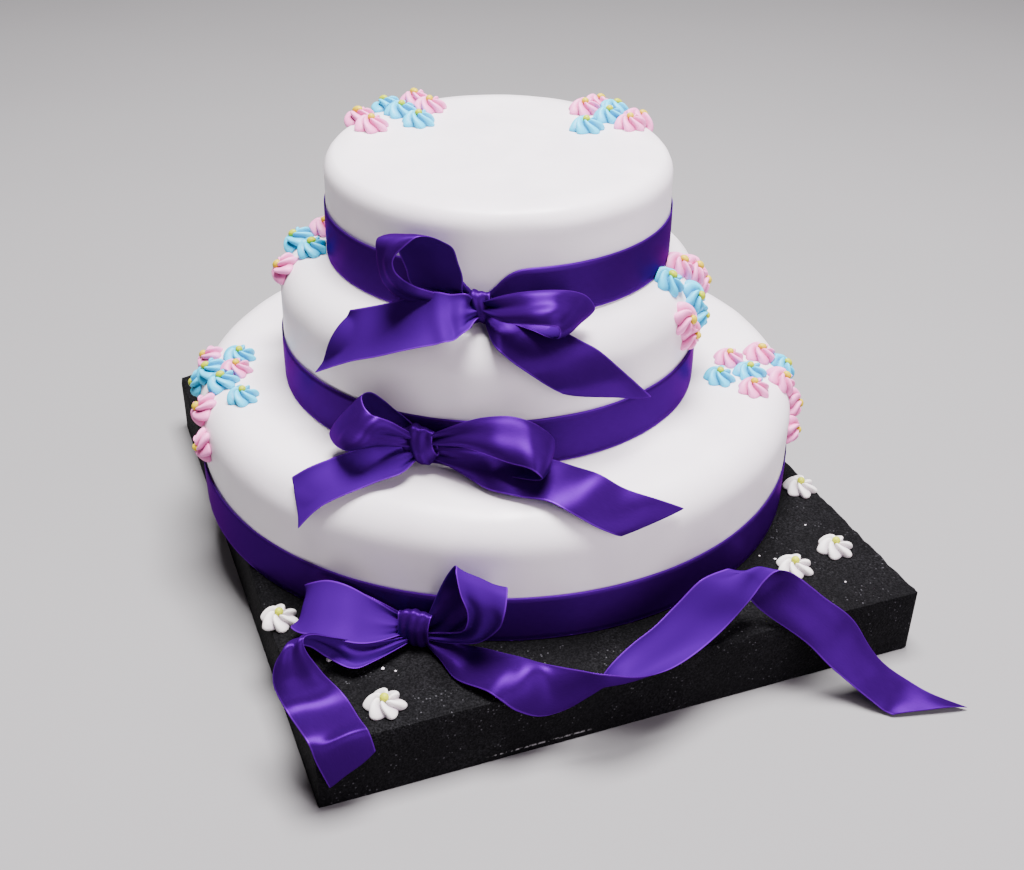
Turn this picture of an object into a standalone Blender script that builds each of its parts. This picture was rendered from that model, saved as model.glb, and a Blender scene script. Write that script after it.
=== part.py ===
"""Three-tier iced cake on a square foam board, tied round with satin ribbon and dressed with piped flowers.

Metres, +Z up. X runs along the board's front edge, Y towards the back. The origin is on the board's
underside, below the axis of the bottom tier.
"""

import math

import bmesh
import bpy
from mathutils import Matrix, Vector

MM = 0.001

# Driving sizes, in millimetres
BOARD_LEFT = -150.0
BOARD_RIGHT = 151.0
BOARD_FRONT = -185.0
BOARD_BACK = 150.0
BOARD_THICKNESS = 35.0
BOARD_BEVEL = 1.5

SEAT_GAP = 0.3
ROUND_STEPS = 49
SHOULDER_STEPS = 4

RIBBON_WIDTH = 25.0
RIBBON_THICKNESS = 0.9
BAND_GAP = 0.3
BAND_THICKNESS = 0.8
RIBBON_CLEARANCE = 2.2
BOARD_CLEARANCE = 1.0

FLOWER_RADIUS = 9.0
FLOWER_HEIGHT = 7.0
BOARD_FLOWER_RADIUS = 9.6
PETALS = 6
PETAL_STEPS = 3
CENTRE_RADIUS = 2.0
CROWN = 0.82
CENTRE_RISE = 2.6
FLOWER_SEAT = 0.5
FLOWER_HOLLOW = 2.4
FLOWER_SPACING = 0.18

PINK = (0.86, 0.55, 0.69)
BLUE = (0.30, 0.72, 0.86)
WHITE = (0.87, 0.85, 0.82)


class Tier:
    """A round cake with a straight side and a rounded upper edge."""

    def __init__(self, name, centre, radius, foot, height, shoulder):
        self.name = name
        self.centre = centre
        self.radius = radius
        self.foot = foot
        self.height = height
        self.shoulder = shoulder

    @property
    def top(self):
        """Level of the flat top."""
        return self.foot + self.height

    def profile(self, along):
        """Radius, level and outward slope at a distance along the skin, from the start of the rounded edge."""
        turn = min(max(along / self.shoulder, 0.0), math.pi / 2)
        radius = self.radius - self.shoulder + self.shoulder * math.sin(turn) + min(along, 0.0)
        drop = max(along - self.shoulder * math.pi / 2, 0.0)
        level = self.top - self.shoulder + self.shoulder * math.cos(turn) - drop
        return radius, level, turn

    def skin(self, bearing, along, lift=0.0):
        """Point over the icing at a compass bearing in radians, with the direction that faces out of it."""
        radius, level, turn = self.profile(along)
        away = Vector((math.cos(bearing) * math.sin(turn), math.sin(bearing) * math.sin(turn), math.cos(turn)))
        foot = Vector((self.centre[0], self.centre[1], 0.0))
        point = foot + Vector((math.cos(bearing) * radius, math.sin(bearing) * radius, level))
        return point + away * lift, away

    def clear(self, point, margin):
        """Moves a point that is too near the cake straight out of it."""
        flat = Vector((point.x - self.centre[0], point.y - self.centre[1]))
        reach = flat.length
        over_side = reach - (self.radius - self.shoulder)
        over_top = point.z - (self.top - self.shoulder)
        if reach < 1.0 or point.z < self.foot - margin:
            return point
        if over_side > 0 and over_top > 0:
            distance = math.hypot(over_side, over_top) - self.shoulder
            if distance >= margin:
                return point
            scale = (self.shoulder + margin) / math.hypot(over_side, over_top)
            reach = self.radius - self.shoulder + over_side * scale
            level = self.top - self.shoulder + over_top * scale
        elif over_side > 0:
            reach = max(reach, self.radius + margin)
            level = point.z
        else:
            level = max(point.z, self.top + margin)
        flat = flat.normalized() * reach
        return Vector((self.centre[0] + flat.x, self.centre[1] + flat.y, level))


BOTTOM = Tier("bottom", (0.0, 0.0), 157.0, BOARD_THICKNESS, 65.4, 19.0)
MIDDLE = Tier("middle", (-5.2, -3.8), 106.0, BOTTOM.top, 66.0, 21.0)
TOP = Tier("top", (-1.2, -5.4), 85.0, MIDDLE.top, 51.2, 10.0)
TIERS = (BOTTOM, MIDDLE, TOP)


class Bow:
    """Where a band is tied: a knot on the tier's side, with its own left-right, up and outward directions."""

    def __init__(self, tier, bearing_degrees, knot_at, knot_half, runs):
        self.tier = tier
        self.bearing = math.radians(bearing_degrees)
        self.knot_at = knot_at
        self.knot_half = knot_half
        self.runs = runs
        self.out = Vector((math.cos(self.bearing), math.sin(self.bearing), 0.0))
        self.side = Vector((-self.out.y, self.out.x, 0.0))

    def place(self, spot):
        """Point for (right, up, out) millimetres from the band's foot below the knot."""
        foot = Vector((self.tier.centre[0], self.tier.centre[1], self.tier.foot))
        return foot + self.side * spot[0] + Vector((0.0, 0.0, spot[1])) + self.out * (self.tier.radius + spot[2])


# Each run of ribbon is set out by hand in millimetres from its bow: one edge, the middle where the ribbon
# is folded, then the other edge
TOP_BOW = Bow(TOP, -115.9, (0, 9, 6), (6, 7, 4), {
    "left_loop": [
        ((-2, 10, 4), (-4, 8, 4)), ((-5, 13, 5), (-16, 11, 2)), ((-7, 16, 6), (-31, 14, -2)),
        ((-7, 23, 6), (-34, 21, -4)), ((-9, 30, 6), (-36, 26, -4)), ((-11, 37, 6), (-38, 30, -5)),
        ((-16, 41, 8), (-41, 34, -4)), ((-21, 44, 11), (-44, 37, -2)), ((-26, 45, 14), (-46, 38, 1)),
        ((-31, 42, 16), (-47, 36, 4)), ((-35, 38, 17), (-46, 33, 5)), ((-37, 34, 18), (-45, 28, 5)),
        ((-36, 29, 18), (-44, 22, 6)), ((-33, 25, 17), (-42, 17, 6)), ((-29, 21, 14), (-37, 12, 6)),
        ((-22, 17, 11), (-27, 9, 6)), ((-3, 11, 8), (-3, 8, 6)),
    ],
    "right_loop": [
        ((2, 12, 7), (2, 8, 8)), ((10, 18, 12), (11, 9, 20)), ((22, 22, 14), (23, 12, 26)),
        ((36, 22, 11), (31, 13, 27)), ((46, 17, 4), (36, 11, 26)), ((51, 10, 0), (37, 7, 25)),
        ((51, 5, -2), (35, 2, 21)), ((44, 4, -2), (29, 1, 17)), ((29, 6, 0), (19, 3, 13)),
        ((12, 9, 3), (10, 5, 9)), ((2, 9, 3), (2, 6, 4)),
    ],
    "left_tail": [
        ((1, 11, 7), (1, 6, 9)), ((-6, 16, 10), (-5, 5, 24)), ((-15, 17, 10), (-10, 3, 30)),
        ((-23, 15, 7), (-17, 1, 30)), ((-34, 10, 4), (-28, -3, 28)), ((-46, 5, 1), (-43, -10, 23)),
        ((-55, 2, -1), (-58, -18, 15)), ((-60, 0, -3), (-79, -35, -3)),
    ],
    "right_tail": [
        ((1, 9, 4), (1, 5, 5)), ((18, 6, 5), (7, -1, 20)), ((32, 3, 7), (14, -6, 25)),
        ((44, -2, 10), (24, -13, 26)), ((54, -8, 9), (33, -21, 23)), ((65, -21, 3), (38, -26, 19)),
        ((81, -45, -14), (39, -27, 18)),
    ],
})
MIDDLE_BOW = Bow(MIDDLE, -126.7, (0, 14, 7), (8, 9, 4.5), {
    "left_loop": [
        ((-2, 20, 4), (-3, 14, 4)), ((-10, 27, 3), (-19, 12, 3)), ((-18, 33, 3), (-34, 12, 0)),
        ((-23, 37, 5), (-42, 13, 0)), ((-26, 37, 9), (-45, 12, 6)), ((-24, 35, 14), (-40, 13, 15)),
        ((-20, 33, 17), (-32, 16, 24)), ((-15, 32, 18), (-24, 17, 26)), ((-9, 28, 15), (-15, 15, 16)),
        ((-2, 20, 9), (-3, 14, 9)),
    ],
    "right_loop": [
        ((5, 20, 7), (5, 15, 8)), ((21, 30, 8), (21, 20, 13)), ((32, 34, 6), (34, 21, 17)),
        ((43, 35, 4), (45, 20, 19)), ((53, 32, 2), (54, 20, 20)), ((60, 25, -2), (59, 18, 20)),
        ((61, 18, -6), (61, 13, 18)), ((57, 16, -6), (54, 9, 15)), ((41, 20, -1), (37, 6, 9)),
        ((22, 20, 2), (20, 6, 5)), ((4, 17, 3), (4, 12, 3)),
    ],
    "left_tail": [
        ((-1, 14, 7), (0, 8, 9)), ((-10, 16, 9), (-4, 6, 22)), ((-26, 9, 9), (-15, 3, 30)),
        ((-36, 7, 17), (-26, -1, 37)), ((-46, 4, 24), (-36, -7, 41)), ((-55, -1, 28), (-46, -18, 44)),
    ],
    "right_tail": [
        ((2, 11, 4), (3, 7, 5)), ((23, 14, 4), (20, 4, 10)), ((40, 14, 0), (35, 4, 18)),
        ((55, 11, -4), (50, 4, 20)), ((68, 8, -6), (63, 5, 21)), ((82, 9, -1), (75, 2, 23)),
        ((95, 4, 0), (86, -4, 22)), ((110, -1, -3), (94, -9, 19)), ((122, -8, -9), (97, -11, 17)),
    ],
})
BOTTOM_BOW = Bow(BOTTOM, -124.3, (3, 10, 7), (7.5, 9, 4.5), {
    "left_loop": [
        ((-1, 12, 5), (0, 7, 7)), ((-16, 21, 6), (-13, 11, 24)), ((-27, 28, 7), (-24, 15, 30)),
        ((-37, 29, 6), (-36, 15, 29)), ((-45, 25, 4), (-45, 12, 26)), ((-51, 19, 0), (-51, 9, 20)),
        ((-50, 18, -2), (-50, 6, 13)), ((-37, 22, 0), (-37, 4, 9)), ((-18, 19, 3), (-18, 4, 7)),
        ((-1, 11, 3), (0, 6, 3)),
    ],
    "right_loop": [
        ((6, 10, 5), (7, 6, 6)), ((9, 17, 5), (20, 11, 4)), ((12, 28, 5), (32, 19, 3)),
        ((17, 41, 7), (40, 30, 4)), ((23, 53, 12), (45, 41, 8)), ((25, 53, 18), (47, 42, 14)),
        ((28, 46, 22), (47, 35, 19)), ((31, 36, 21), (44, 26, 18)), ((28, 21, 15), (34, 13, 14)),
        ((18, 13, 10), (19, 8, 12)), ((6, 9, 8), (7, 6, 9)),
    ],
    "left_tail": [
        ((0, 7, 10), (1, 5, 12)), ((-11, 9, 19), (-11, 4, 25)), ((-19, 13, 25), (-19, 4, 32)),
        ((-26, 21, 34), (-29, 10, 34)), ((-31, 29, 43), (-35, 21, 42)), ((-33, 32, 50), (-40, 27, 51)),
        ((-31, 26, 52), (-43, 24, 58)), ((-25, 14, 50), (-43, 15, 63)), ((-15, 6, 52), (-36, 6, 68)),
        ((-5, 4, 62), (-22, 4, 81)), ((1, 4, 68), (-9, 3, 77), (-18, -5, 83)),
        ((4, -7, 69), (-5, -14, 75), (-14, -23, 80)),
    ],
    "right_tail": [
        ((5, 6, 5), (6, 4, 8)), ((21, 5, 6), (17, 3, 17)), ((33, 4, 5), (28, 3, 28)),
        ((44, 6, 9), (44, 8, 22), (42, 5, 34)), ((52, 8, 12), (52, 9, 24), (50, 2, 36)),
        ((60, 9, 14), (60, 8, 25), (57, -5, 34)), ((74, 12, 19), (67, -12, 27)),
        ((86, 14, 22), (79, -10, 19)), ((95, 13, 22), (87, -4, 13)), ((107, 8, 15), (92, 6, 8)),
        ((117, 4, 3), (100, 12, -3)), ((127, 4, -11), (109, 17, -13)), ((137, 7, -25), (117, 23, -24)),
        ((145, 13, -36), (138, 24, -34), (126, 31, -33)), ((151, 21, -44), (145, 29, -42), (135, 30, -41)),
        ((154, 25, -47), (147, 31, -45), (138, 29, -44)), ((158, 28, -50), (150, 31, -50), (141, 25, -48)),
        ((162, 28, -51), (154, 26, -53), (144, 19, -49)), ((168, 26, -53), (160, 20, -53), (150, 11, -47)),
        ((175, 21, -54), (158, 6, -45)), ((184, 13, -56), (169, 1, -43)),
        ((193, 6, -58), (179, -6, -43)), ((200, -2, -60), (189, -15, -42)), ((213, -20, -60), (200, -23, -41)),
        ((226, -27, -57), (211, -29, -38)), ((240, -31, -53), (216, -32, -37)), ((257, -33, -50), (221, -33, -36)),
    ],
})
BOWS = (TOP_BOW, MIDDLE_BOW, BOTTOM_BOW)

# Piped flowers of each spray: colour, bearing in degrees, millimetres along the skin from the rounded edge
SPRAYS = {
    "top_left": (TOP, [
        (PINK, 140, -8), (PINK, 133, 3), (BLUE, 116, 5), (BLUE, 118, -9), (PINK, 104, 2), (PINK, 104, -12),
        (BLUE, 123, -25),
    ]),
    "top_right": (TOP, [
        (PINK, 28, -8), (PINK, 29, 5), (BLUE, 14, -7), (BLUE, 21, 5), (BLUE, 7, -26), (PINK, 2, -4), (PINK, 9, 7),
    ]),
    "middle_left": (MIDDLE, [(PINK, 150, 0), (BLUE, 167, 3), (BLUE, 155, 13), (PINK, 168, 20), (PINK, 149, 41)]),
    "middle_right": (MIDDLE, [
        (PINK, -34, 11), (PINK, -29, 19), (PINK, -25, 29), (BLUE, -46, 10), (BLUE, -40, 25), (BLUE, -29, 44),
        (PINK, -49, 29), (PINK, -45, 40),
    ]),
    "bottom_left": (BOTTOM, [
        (PINK, 159, 16), (BLUE, 166, 12), (BLUE, 163, -3), (PINK, 169, -2), (BLUE, 173, 5), (BLUE, 162, 27),
        (BLUE, -179, -2), (PINK, 177, 19), (PINK, -178, 32),
    ]),
    "bottom_right": (BOTTOM, [
        (PINK, -24, -14), (PINK, -21, 3), (BLUE, -34, -19), (BLUE, -30, -4), (BLUE, -22, 16), (PINK, -37, -1),
        (PINK, -29, 13), (PINK, -28, 29), (PINK, -31, 40),
    ]),
}
BOARD_FLOWERS = [(143, -88), (103, -148), (131, -141), (-115, -171), (-144.5, -99)]


def clear_scene():
    """Empties the file of objects and of the meshes they used."""
    for item in list(bpy.data.objects):
        bpy.data.objects.remove(item, do_unlink=True)
    for mesh in list(bpy.data.meshes):
        bpy.data.meshes.remove(mesh)


def material(name, colour, roughness):
    """Principled material of one colour."""
    made = bpy.data.materials.get(name)
    if made:
        return made
    made = bpy.data.materials.new(name)
    made.use_nodes = True
    shader = made.node_tree.nodes["Principled BSDF"]
    shader.inputs["Base Color"].default_value = (*colour, 1.0)
    shader.inputs["Roughness"].default_value = roughness
    shader.inputs["Metallic"].default_value = 0.0
    made.diffuse_color = (*colour, 1.0)
    return made


def make_object(name, shape, finish, smooth_angle=None):
    """Turns a bmesh in millimetres into a named object in metres."""
    bmesh.ops.recalc_face_normals(shape, faces=shape.faces)
    bmesh.ops.transform(shape, matrix=Matrix.Scale(MM, 4), verts=shape.verts)
    mesh = bpy.data.meshes.new(name)
    shape.to_mesh(mesh)
    shape.free()
    if smooth_angle is not None:
        mesh.shade_smooth()
        mesh.set_sharp_from_angle(angle=math.radians(smooth_angle))
    mesh.materials.append(finish)
    item = bpy.data.objects.new(name, mesh)
    bpy.context.scene.collection.objects.link(item)
    return item


def turn_profile(outline, centre, closed):
    """Spins an outline of (radius, level) points round an upright axis into a closed body."""
    shape = bmesh.new()
    corners = [shape.verts.new((centre[0] + radius, centre[1], level)) for radius, level in outline]
    edges = [shape.edges.new(pair) for pair in zip(corners, corners[1:])]
    if closed:
        edges.append(shape.edges.new((corners[-1], corners[0])))
    bmesh.ops.spin(
        shape, geom=corners + edges, cent=(centre[0], centre[1], 0.0), axis=(0.0, 0.0, 1.0),
        angle=math.tau, steps=ROUND_STEPS, use_merge=True, use_duplicate=False,
    )
    bmesh.ops.remove_doubles(shape, verts=shape.verts, dist=0.001)
    open_edges = [edge for edge in shape.edges if edge.is_boundary]
    if open_edges:
        bmesh.ops.contextual_create(shape, geom=[e for e in open_edges if e.verts[0].co.z > outline[0][1] + 1.0])
        bmesh.ops.contextual_create(shape, geom=[e for e in open_edges if e.is_boundary])
    return shape


def build_board():
    """Square of black foam, its edges just broken."""
    shape = bmesh.new()
    size = (BOARD_RIGHT - BOARD_LEFT, BOARD_BACK - BOARD_FRONT, BOARD_THICKNESS)
    middle = ((BOARD_LEFT + BOARD_RIGHT) / 2, (BOARD_FRONT + BOARD_BACK) / 2, BOARD_THICKNESS / 2)
    bmesh.ops.create_cube(shape, size=1.0, matrix=Matrix.Translation(middle) @ Matrix.Diagonal((*size, 1.0)))
    upper = [edge for edge in shape.edges if any(corner.co.z > middle[2] for corner in edge.verts)]
    bmesh.ops.bevel(
        shape, geom=upper, offset=BOARD_BEVEL, offset_type="OFFSET", segments=2, profile=0.5,
        affect="EDGES", material=-1,
    )
    return make_object("board", shape, material("black_foam", (0.012, 0.012, 0.014), 0.85))


def build_tier(tier):
    """Iced cake: straight side, rounded upper edge, flat top."""
    outline = [(tier.radius, tier.foot + SEAT_GAP)]
    for step in range(SHOULDER_STEPS + 1):
        along = tier.shoulder * math.pi / 2 * (1 - step / SHOULDER_STEPS)
        radius, level, _ = tier.profile(along)
        outline.append((radius, level))
    shape = turn_profile(outline, tier.centre, closed=False)
    return make_object(f"tier_{tier.name}", shape, material("white_icing", (0.84, 0.82, 0.83), 0.45), 40)


def build_band(tier):
    """Satin ribbon round the foot of a tier."""
    inner = tier.radius + BAND_GAP
    outer = inner + BAND_THICKNESS
    low = tier.foot + SEAT_GAP + 0.2
    high = low + RIBBON_WIDTH
    shape = turn_profile([(outer, high), (outer, low), (inner, low), (inner, high)], tier.centre, closed=True)
    return make_object(f"band_{tier.name}", shape, material("violet_satin", (0.06, 0.004, 0.40), 0.3), 40)


def smooth_between(values, steps):
    """Points along the smooth curve through hand-set points, with equal steps between them."""
    points = []
    last = len(values) - 1
    for index in range(last):
        before = values[max(index - 1, 0)]
        start, end = values[index], values[index + 1]
        after = values[min(index + 2, last)]
        for step in range(steps):
            t = step / steps
            points.append(
                0.5 * (2 * start + (end - before) * t + (2 * before - 5 * start + 4 * end - after) * t * t
                       + (3 * start - 3 * end + after - before) * t ** 3)
            )
    points.append(values[-1])
    return points


def clear_of_cake(point):
    """Keeps the middle of a ribbon's thickness off the cake, the board and the table."""
    for tier in TIERS:
        point = tier.clear(point, RIBBON_CLEARANCE)
    over = BOARD_LEFT < point.x < BOARD_RIGHT and BOARD_FRONT < point.y < BOARD_BACK
    if over:
        in_front = point.y - BOARD_FRONT < BOARD_THICKNESS - point.z
        if in_front and point.z < BOARD_THICKNESS:
            point.y = BOARD_FRONT - BOARD_CLEARANCE
        else:
            point.z = max(point.z, BOARD_THICKNESS + BOARD_CLEARANCE)
    elif point.y > BOARD_FRONT - BOARD_CLEARANCE and point.z < BOARD_THICKNESS and point.x < BOARD_RIGHT:
        point.y = BOARD_FRONT - BOARD_CLEARANCE
    point.z = max(point.z, BOARD_CLEARANCE)
    return point


def ribbon_run(bow, pairs, steps):
    """Closed thin strip that follows the two edges of a run of ribbon."""
    first = smooth_between([bow.place(pair[0]) for pair in pairs], steps)
    second = smooth_between([bow.place(pair[-1]) for pair in pairs], steps)
    spine = [bow.place(p[1]) if len(p) == 3 else bow.place(p[0]).lerp(bow.place(p[1]), 0.5) for p in pairs]
    rows = [[clear_of_cake(spot) for spot in row] for row in zip(first, smooth_between(spine, steps), second)]
    faces = []
    for index, row in enumerate(rows):
        ahead = rows[min(index + 1, len(rows) - 1)]
        behind = rows[max(index - 1, 0)]
        across = [row[min(place + 1, 2)] - row[max(place - 1, 0)] for place in range(3)]
        faces.append([(ahead[place] - behind[place]).cross(across[place]).normalized() for place in range(3)])
    shape = bmesh.new()
    rings = []
    for index, row in enumerate(rows):
        upper, lower = [], []
        for place, point in enumerate(row):
            beside = faces[max(index - 1, 0)][place] + faces[min(index + 1, len(rows) - 1)][place]
            face = (beside + faces[index][place] * 2 + faces[index][1]).normalized()
            upper.append(shape.verts.new(point + face * RIBBON_THICKNESS / 2))
            lower.append(shape.verts.new(point - face * RIBBON_THICKNESS / 2))
        rings.append(upper + lower[::-1])
    for ring, following in zip(rings, rings[1:]):
        for place in range(len(ring)):
            beside = (place + 1) % len(ring)
            shape.faces.new((ring[place], ring[beside], following[beside], following[place]))
    shape.faces.new(rings[0][::-1])
    shape.faces.new(rings[-1])
    bmesh.ops.triangulate(shape, faces=shape.faces)
    return shape


def build_bow(bow):
    """Knot, two loops and two tails of one ribbon, joined in one body."""
    satin = material("violet_satin", (0.06, 0.004, 0.40), 0.3)
    shape = bmesh.new()
    bmesh.ops.create_uvsphere(shape, u_segments=10, v_segments=6, radius=1.0)
    size = Matrix.Diagonal((bow.knot_half[0], bow.knot_half[1], bow.knot_half[2], 1.0))
    upright = Vector((0.0, 0.0, 1.0))
    axes = Matrix((bow.side, upright, bow.out)).transposed().to_4x4()
    placed = Matrix.Translation(bow.place(bow.knot_at)) @ axes @ size
    bmesh.ops.transform(shape, matrix=placed, verts=shape.verts)
    knot = make_object(f"bow_{bow.tier.name}", shape, satin, 50)
    pieces = bpy.data.collections.new(f"{bow.tier.name}_pieces")
    bpy.context.scene.collection.children.link(pieces)
    for name, pairs in bow.runs.items():
        steps = 2 if len(pairs) < 13 else 1
        run = make_object(f"{bow.tier.name}_{name}", ribbon_run(bow, pairs, steps), satin, 50)
        bpy.context.scene.collection.objects.unlink(run)
        pieces.objects.link(run)
    union = knot.modifiers.new("join", "BOOLEAN")
    union.operation = "UNION"
    union.operand_type = "COLLECTION"
    union.collection = pieces
    union.solver = "EXACT"
    joined = bpy.data.meshes.new_from_object(knot.evaluated_get(bpy.context.evaluated_depsgraph_get()))
    knot.modifiers.clear()
    knot.data = joined
    for item in list(pieces.objects):
        bpy.data.objects.remove(item, do_unlink=True)
    bpy.data.collections.remove(pieces)
    return knot


def petal_ring(radius, valley, height, dip, turn):
    """Points (angle, radius, height) of one ring of a swirled flower, three to a petal."""
    ring = []
    for step in range(PETALS * PETAL_STEPS):
        phase = step % PETAL_STEPS
        reach = (valley, 1.0, 0.93)[phase]
        sunk = (dip, 0.0, dip * 0.3)[phase]
        angle = math.tau * (step + (0.0, 0.1, 0.2)[phase]) / (PETALS * PETAL_STEPS) + turn
        ring.append((angle, radius * reach, height - sunk))
    return ring


def flower_shape(map_point, radius, height, turn):
    """Piped swirl with a small round centre, laid on a surface by map_point(across, along, lift)."""
    rings = [
        petal_ring(radius * 0.86, 0.80, FLOWER_SEAT, 0.0, turn),
        petal_ring(radius, 0.72, height * 0.26, 0.0, turn),
        petal_ring(radius * 0.62, 0.80, height * 0.92, height * 0.30, turn + 0.42),
        [(angle, CENTRE_RADIUS, height * CROWN) for angle, _, _ in petal_ring(1.0, 1.0, 0.0, 0.0, turn + 0.7)],
    ]
    shape = bmesh.new()
    made = [
        [shape.verts.new(map_point(math.cos(a) * r, math.sin(a) * r, lift)) for a, r, lift in ring]
        for ring in rings
    ]
    under = shape.verts.new(map_point(0.0, 0.0, FLOWER_HOLLOW))
    tip = shape.verts.new(map_point(0.0, 0.0, height * CROWN + CENTRE_RISE))
    count = PETALS * PETAL_STEPS
    for place in range(count):
        beside = (place + 1) % count
        shape.faces.new((under, made[0][beside], made[0][place]))
        shape.faces.new((tip, made[-1][place], made[-1][beside]))
        for low, high in zip(made, made[1:]):
            shape.faces.new((low[place], low[beside], high[beside], high[place]))
    bmesh.ops.triangulate(shape, faces=shape.faces)
    return shape


def keep_apart(shape, centre, neighbours):
    """Presses a flower's petals flat where they would meet the flowers beside it."""
    for _ in range(3):
        for other in neighbours:
            towards = other - centre
            limit = towards.length / 2 - FLOWER_SPACING
            towards.normalize()
            for corner in shape.verts:
                excess = (corner.co - centre).dot(towards) - limit
                if excess > 0:
                    corner.co -= towards * excess


def build_spray(name, tier, flowers):
    """Cluster of flowers piped on a tier's top and over its rounded edge."""
    centres = [tier.skin(math.radians(bearing), along, FLOWER_HEIGHT / 2)[0] for _, bearing, along in flowers]
    above = TIERS[TIERS.index(tier) + 1] if tier is not TOP else None
    for number, (colour, bearing_degrees, along) in enumerate(flowers):
        bearing = math.radians(bearing_degrees)
        reach = tier.profile(along)[0]

        def map_point(across, forward, lift):
            return tier.skin(bearing + across / reach, along + forward, lift)[0]

        turn = number * 1.9 + bearing
        radius = FLOWER_RADIUS * (1.0 + 0.05 * math.sin(number * 2.3 + bearing))
        shape = flower_shape(map_point, radius, FLOWER_HEIGHT, turn)
        near = [c for i, c in enumerate(centres) if i != number and (c - centres[number]).length < 3 * FLOWER_RADIUS]
        keep_apart(shape, centres[number], near)
        if above:
            for corner in shape.verts:
                corner.co = above.clear(corner.co, BAND_GAP + BAND_THICKNESS + 0.4)
        finish = material("pink_icing" if colour is PINK else "blue_icing", colour, 0.5)
        make_object(f"flower_{name}_{number + 1}", shape, finish, 35)


def build_board_flowers():
    """White flowers that lie on the board in front of the cake."""
    for number, (across, along) in enumerate(BOARD_FLOWERS):

        def map_point(right, back, lift):
            return Vector((across + right, along + back, BOARD_THICKNESS + lift))

        shape = flower_shape(map_point, BOARD_FLOWER_RADIUS, FLOWER_HEIGHT, number * 1.3)
        for corner in shape.verts:
            corner.co = BOTTOM.clear(corner.co, BAND_GAP + BAND_THICKNESS + 0.4)
        make_object(f"board_flower_{number + 1}", shape, material("white_flower_icing", WHITE, 0.5), 35)


def main():
    """Builds every piece of the cake."""
    clear_scene()
    build_board()
    for tier in TIERS:
        build_tier(tier)
        build_band(tier)
    for bow in BOWS:
        build_bow(bow)
    for name, (tier, flowers) in SPRAYS.items():
        build_spray(name, tier, flowers)
    build_board_flowers()


if __name__ == "__main__":
    main()
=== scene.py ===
"""Finish of the three-tier iced cake: sugar paste, satin ribbon, piped flowers and the foam board.

Lengths in the classes are millimetres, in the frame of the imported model; meshes are scaled to metres
when they become objects.
"""

import logging
import math
import random
from dataclasses import dataclass
from enum import Enum
from typing import Callable

import bmesh
import bpy
from mathutils import Matrix, Vector, noise


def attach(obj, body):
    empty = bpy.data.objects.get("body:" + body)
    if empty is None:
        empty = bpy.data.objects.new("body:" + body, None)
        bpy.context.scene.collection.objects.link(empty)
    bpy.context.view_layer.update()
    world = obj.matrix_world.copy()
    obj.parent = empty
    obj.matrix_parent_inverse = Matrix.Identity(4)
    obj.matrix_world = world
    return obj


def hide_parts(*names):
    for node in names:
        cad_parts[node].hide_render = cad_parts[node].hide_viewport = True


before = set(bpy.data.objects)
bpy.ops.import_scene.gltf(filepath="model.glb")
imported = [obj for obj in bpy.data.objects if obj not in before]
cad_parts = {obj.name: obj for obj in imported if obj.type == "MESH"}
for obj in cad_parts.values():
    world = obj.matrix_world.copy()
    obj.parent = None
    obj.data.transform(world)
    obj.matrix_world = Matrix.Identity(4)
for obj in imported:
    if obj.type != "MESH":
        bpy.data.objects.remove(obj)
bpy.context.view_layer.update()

MM = 0.001
RIBBON_WIDTH = 25.0
LOG = logging.getLogger("cake")

Colour = tuple[float, float, float]
Spot = tuple[float, float, float]
Socket = bpy.types.NodeSocket
Station = tuple[Spot, ...]
PointMap = Callable[[float, float, float], Vector]


class Tint(Enum):
    """Icing colours of the piped flowers: petal colour, painted shade colour between the petals, centre
    colour.
    """

    PINK = ((0.90, 0.27, 0.58), (0.50, 0.05, 0.23), (0.52, 0.40, 0.004))
    BLUE = ((0.010, 0.58, 0.86), (0.0, 0.20, 0.42), (0.38, 0.43, 0.004))
    WHITE = ((0.86, 0.83, 0.80), (0.38, 0.32, 0.37), (0.44, 0.49, 0.012))

    @property
    def petal(self) -> Colour:
        """Colour of the petals' raised parts."""
        return self.value[0]

    @property
    def valley(self) -> Colour:
        """Painted shade: the darker colour laid between the petals where shade falls."""
        return self.value[1]

    @property
    def centre(self) -> Colour:
        """Colour of the round centre."""
        return self.value[2]

    @property
    def slot(self) -> str:
        """Name stem of its materials."""
        return {"PINK": "pink_icing", "BLUE": "blue_icing", "WHITE": "white_flower_icing"}[self.name]


class Hold(Enum):
    """How a length of ribbon is held."""

    ROUND_TIER = "stretched"
    TIED = "gathered"


Finishes = dict[Tint, bpy.types.Material]


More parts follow.
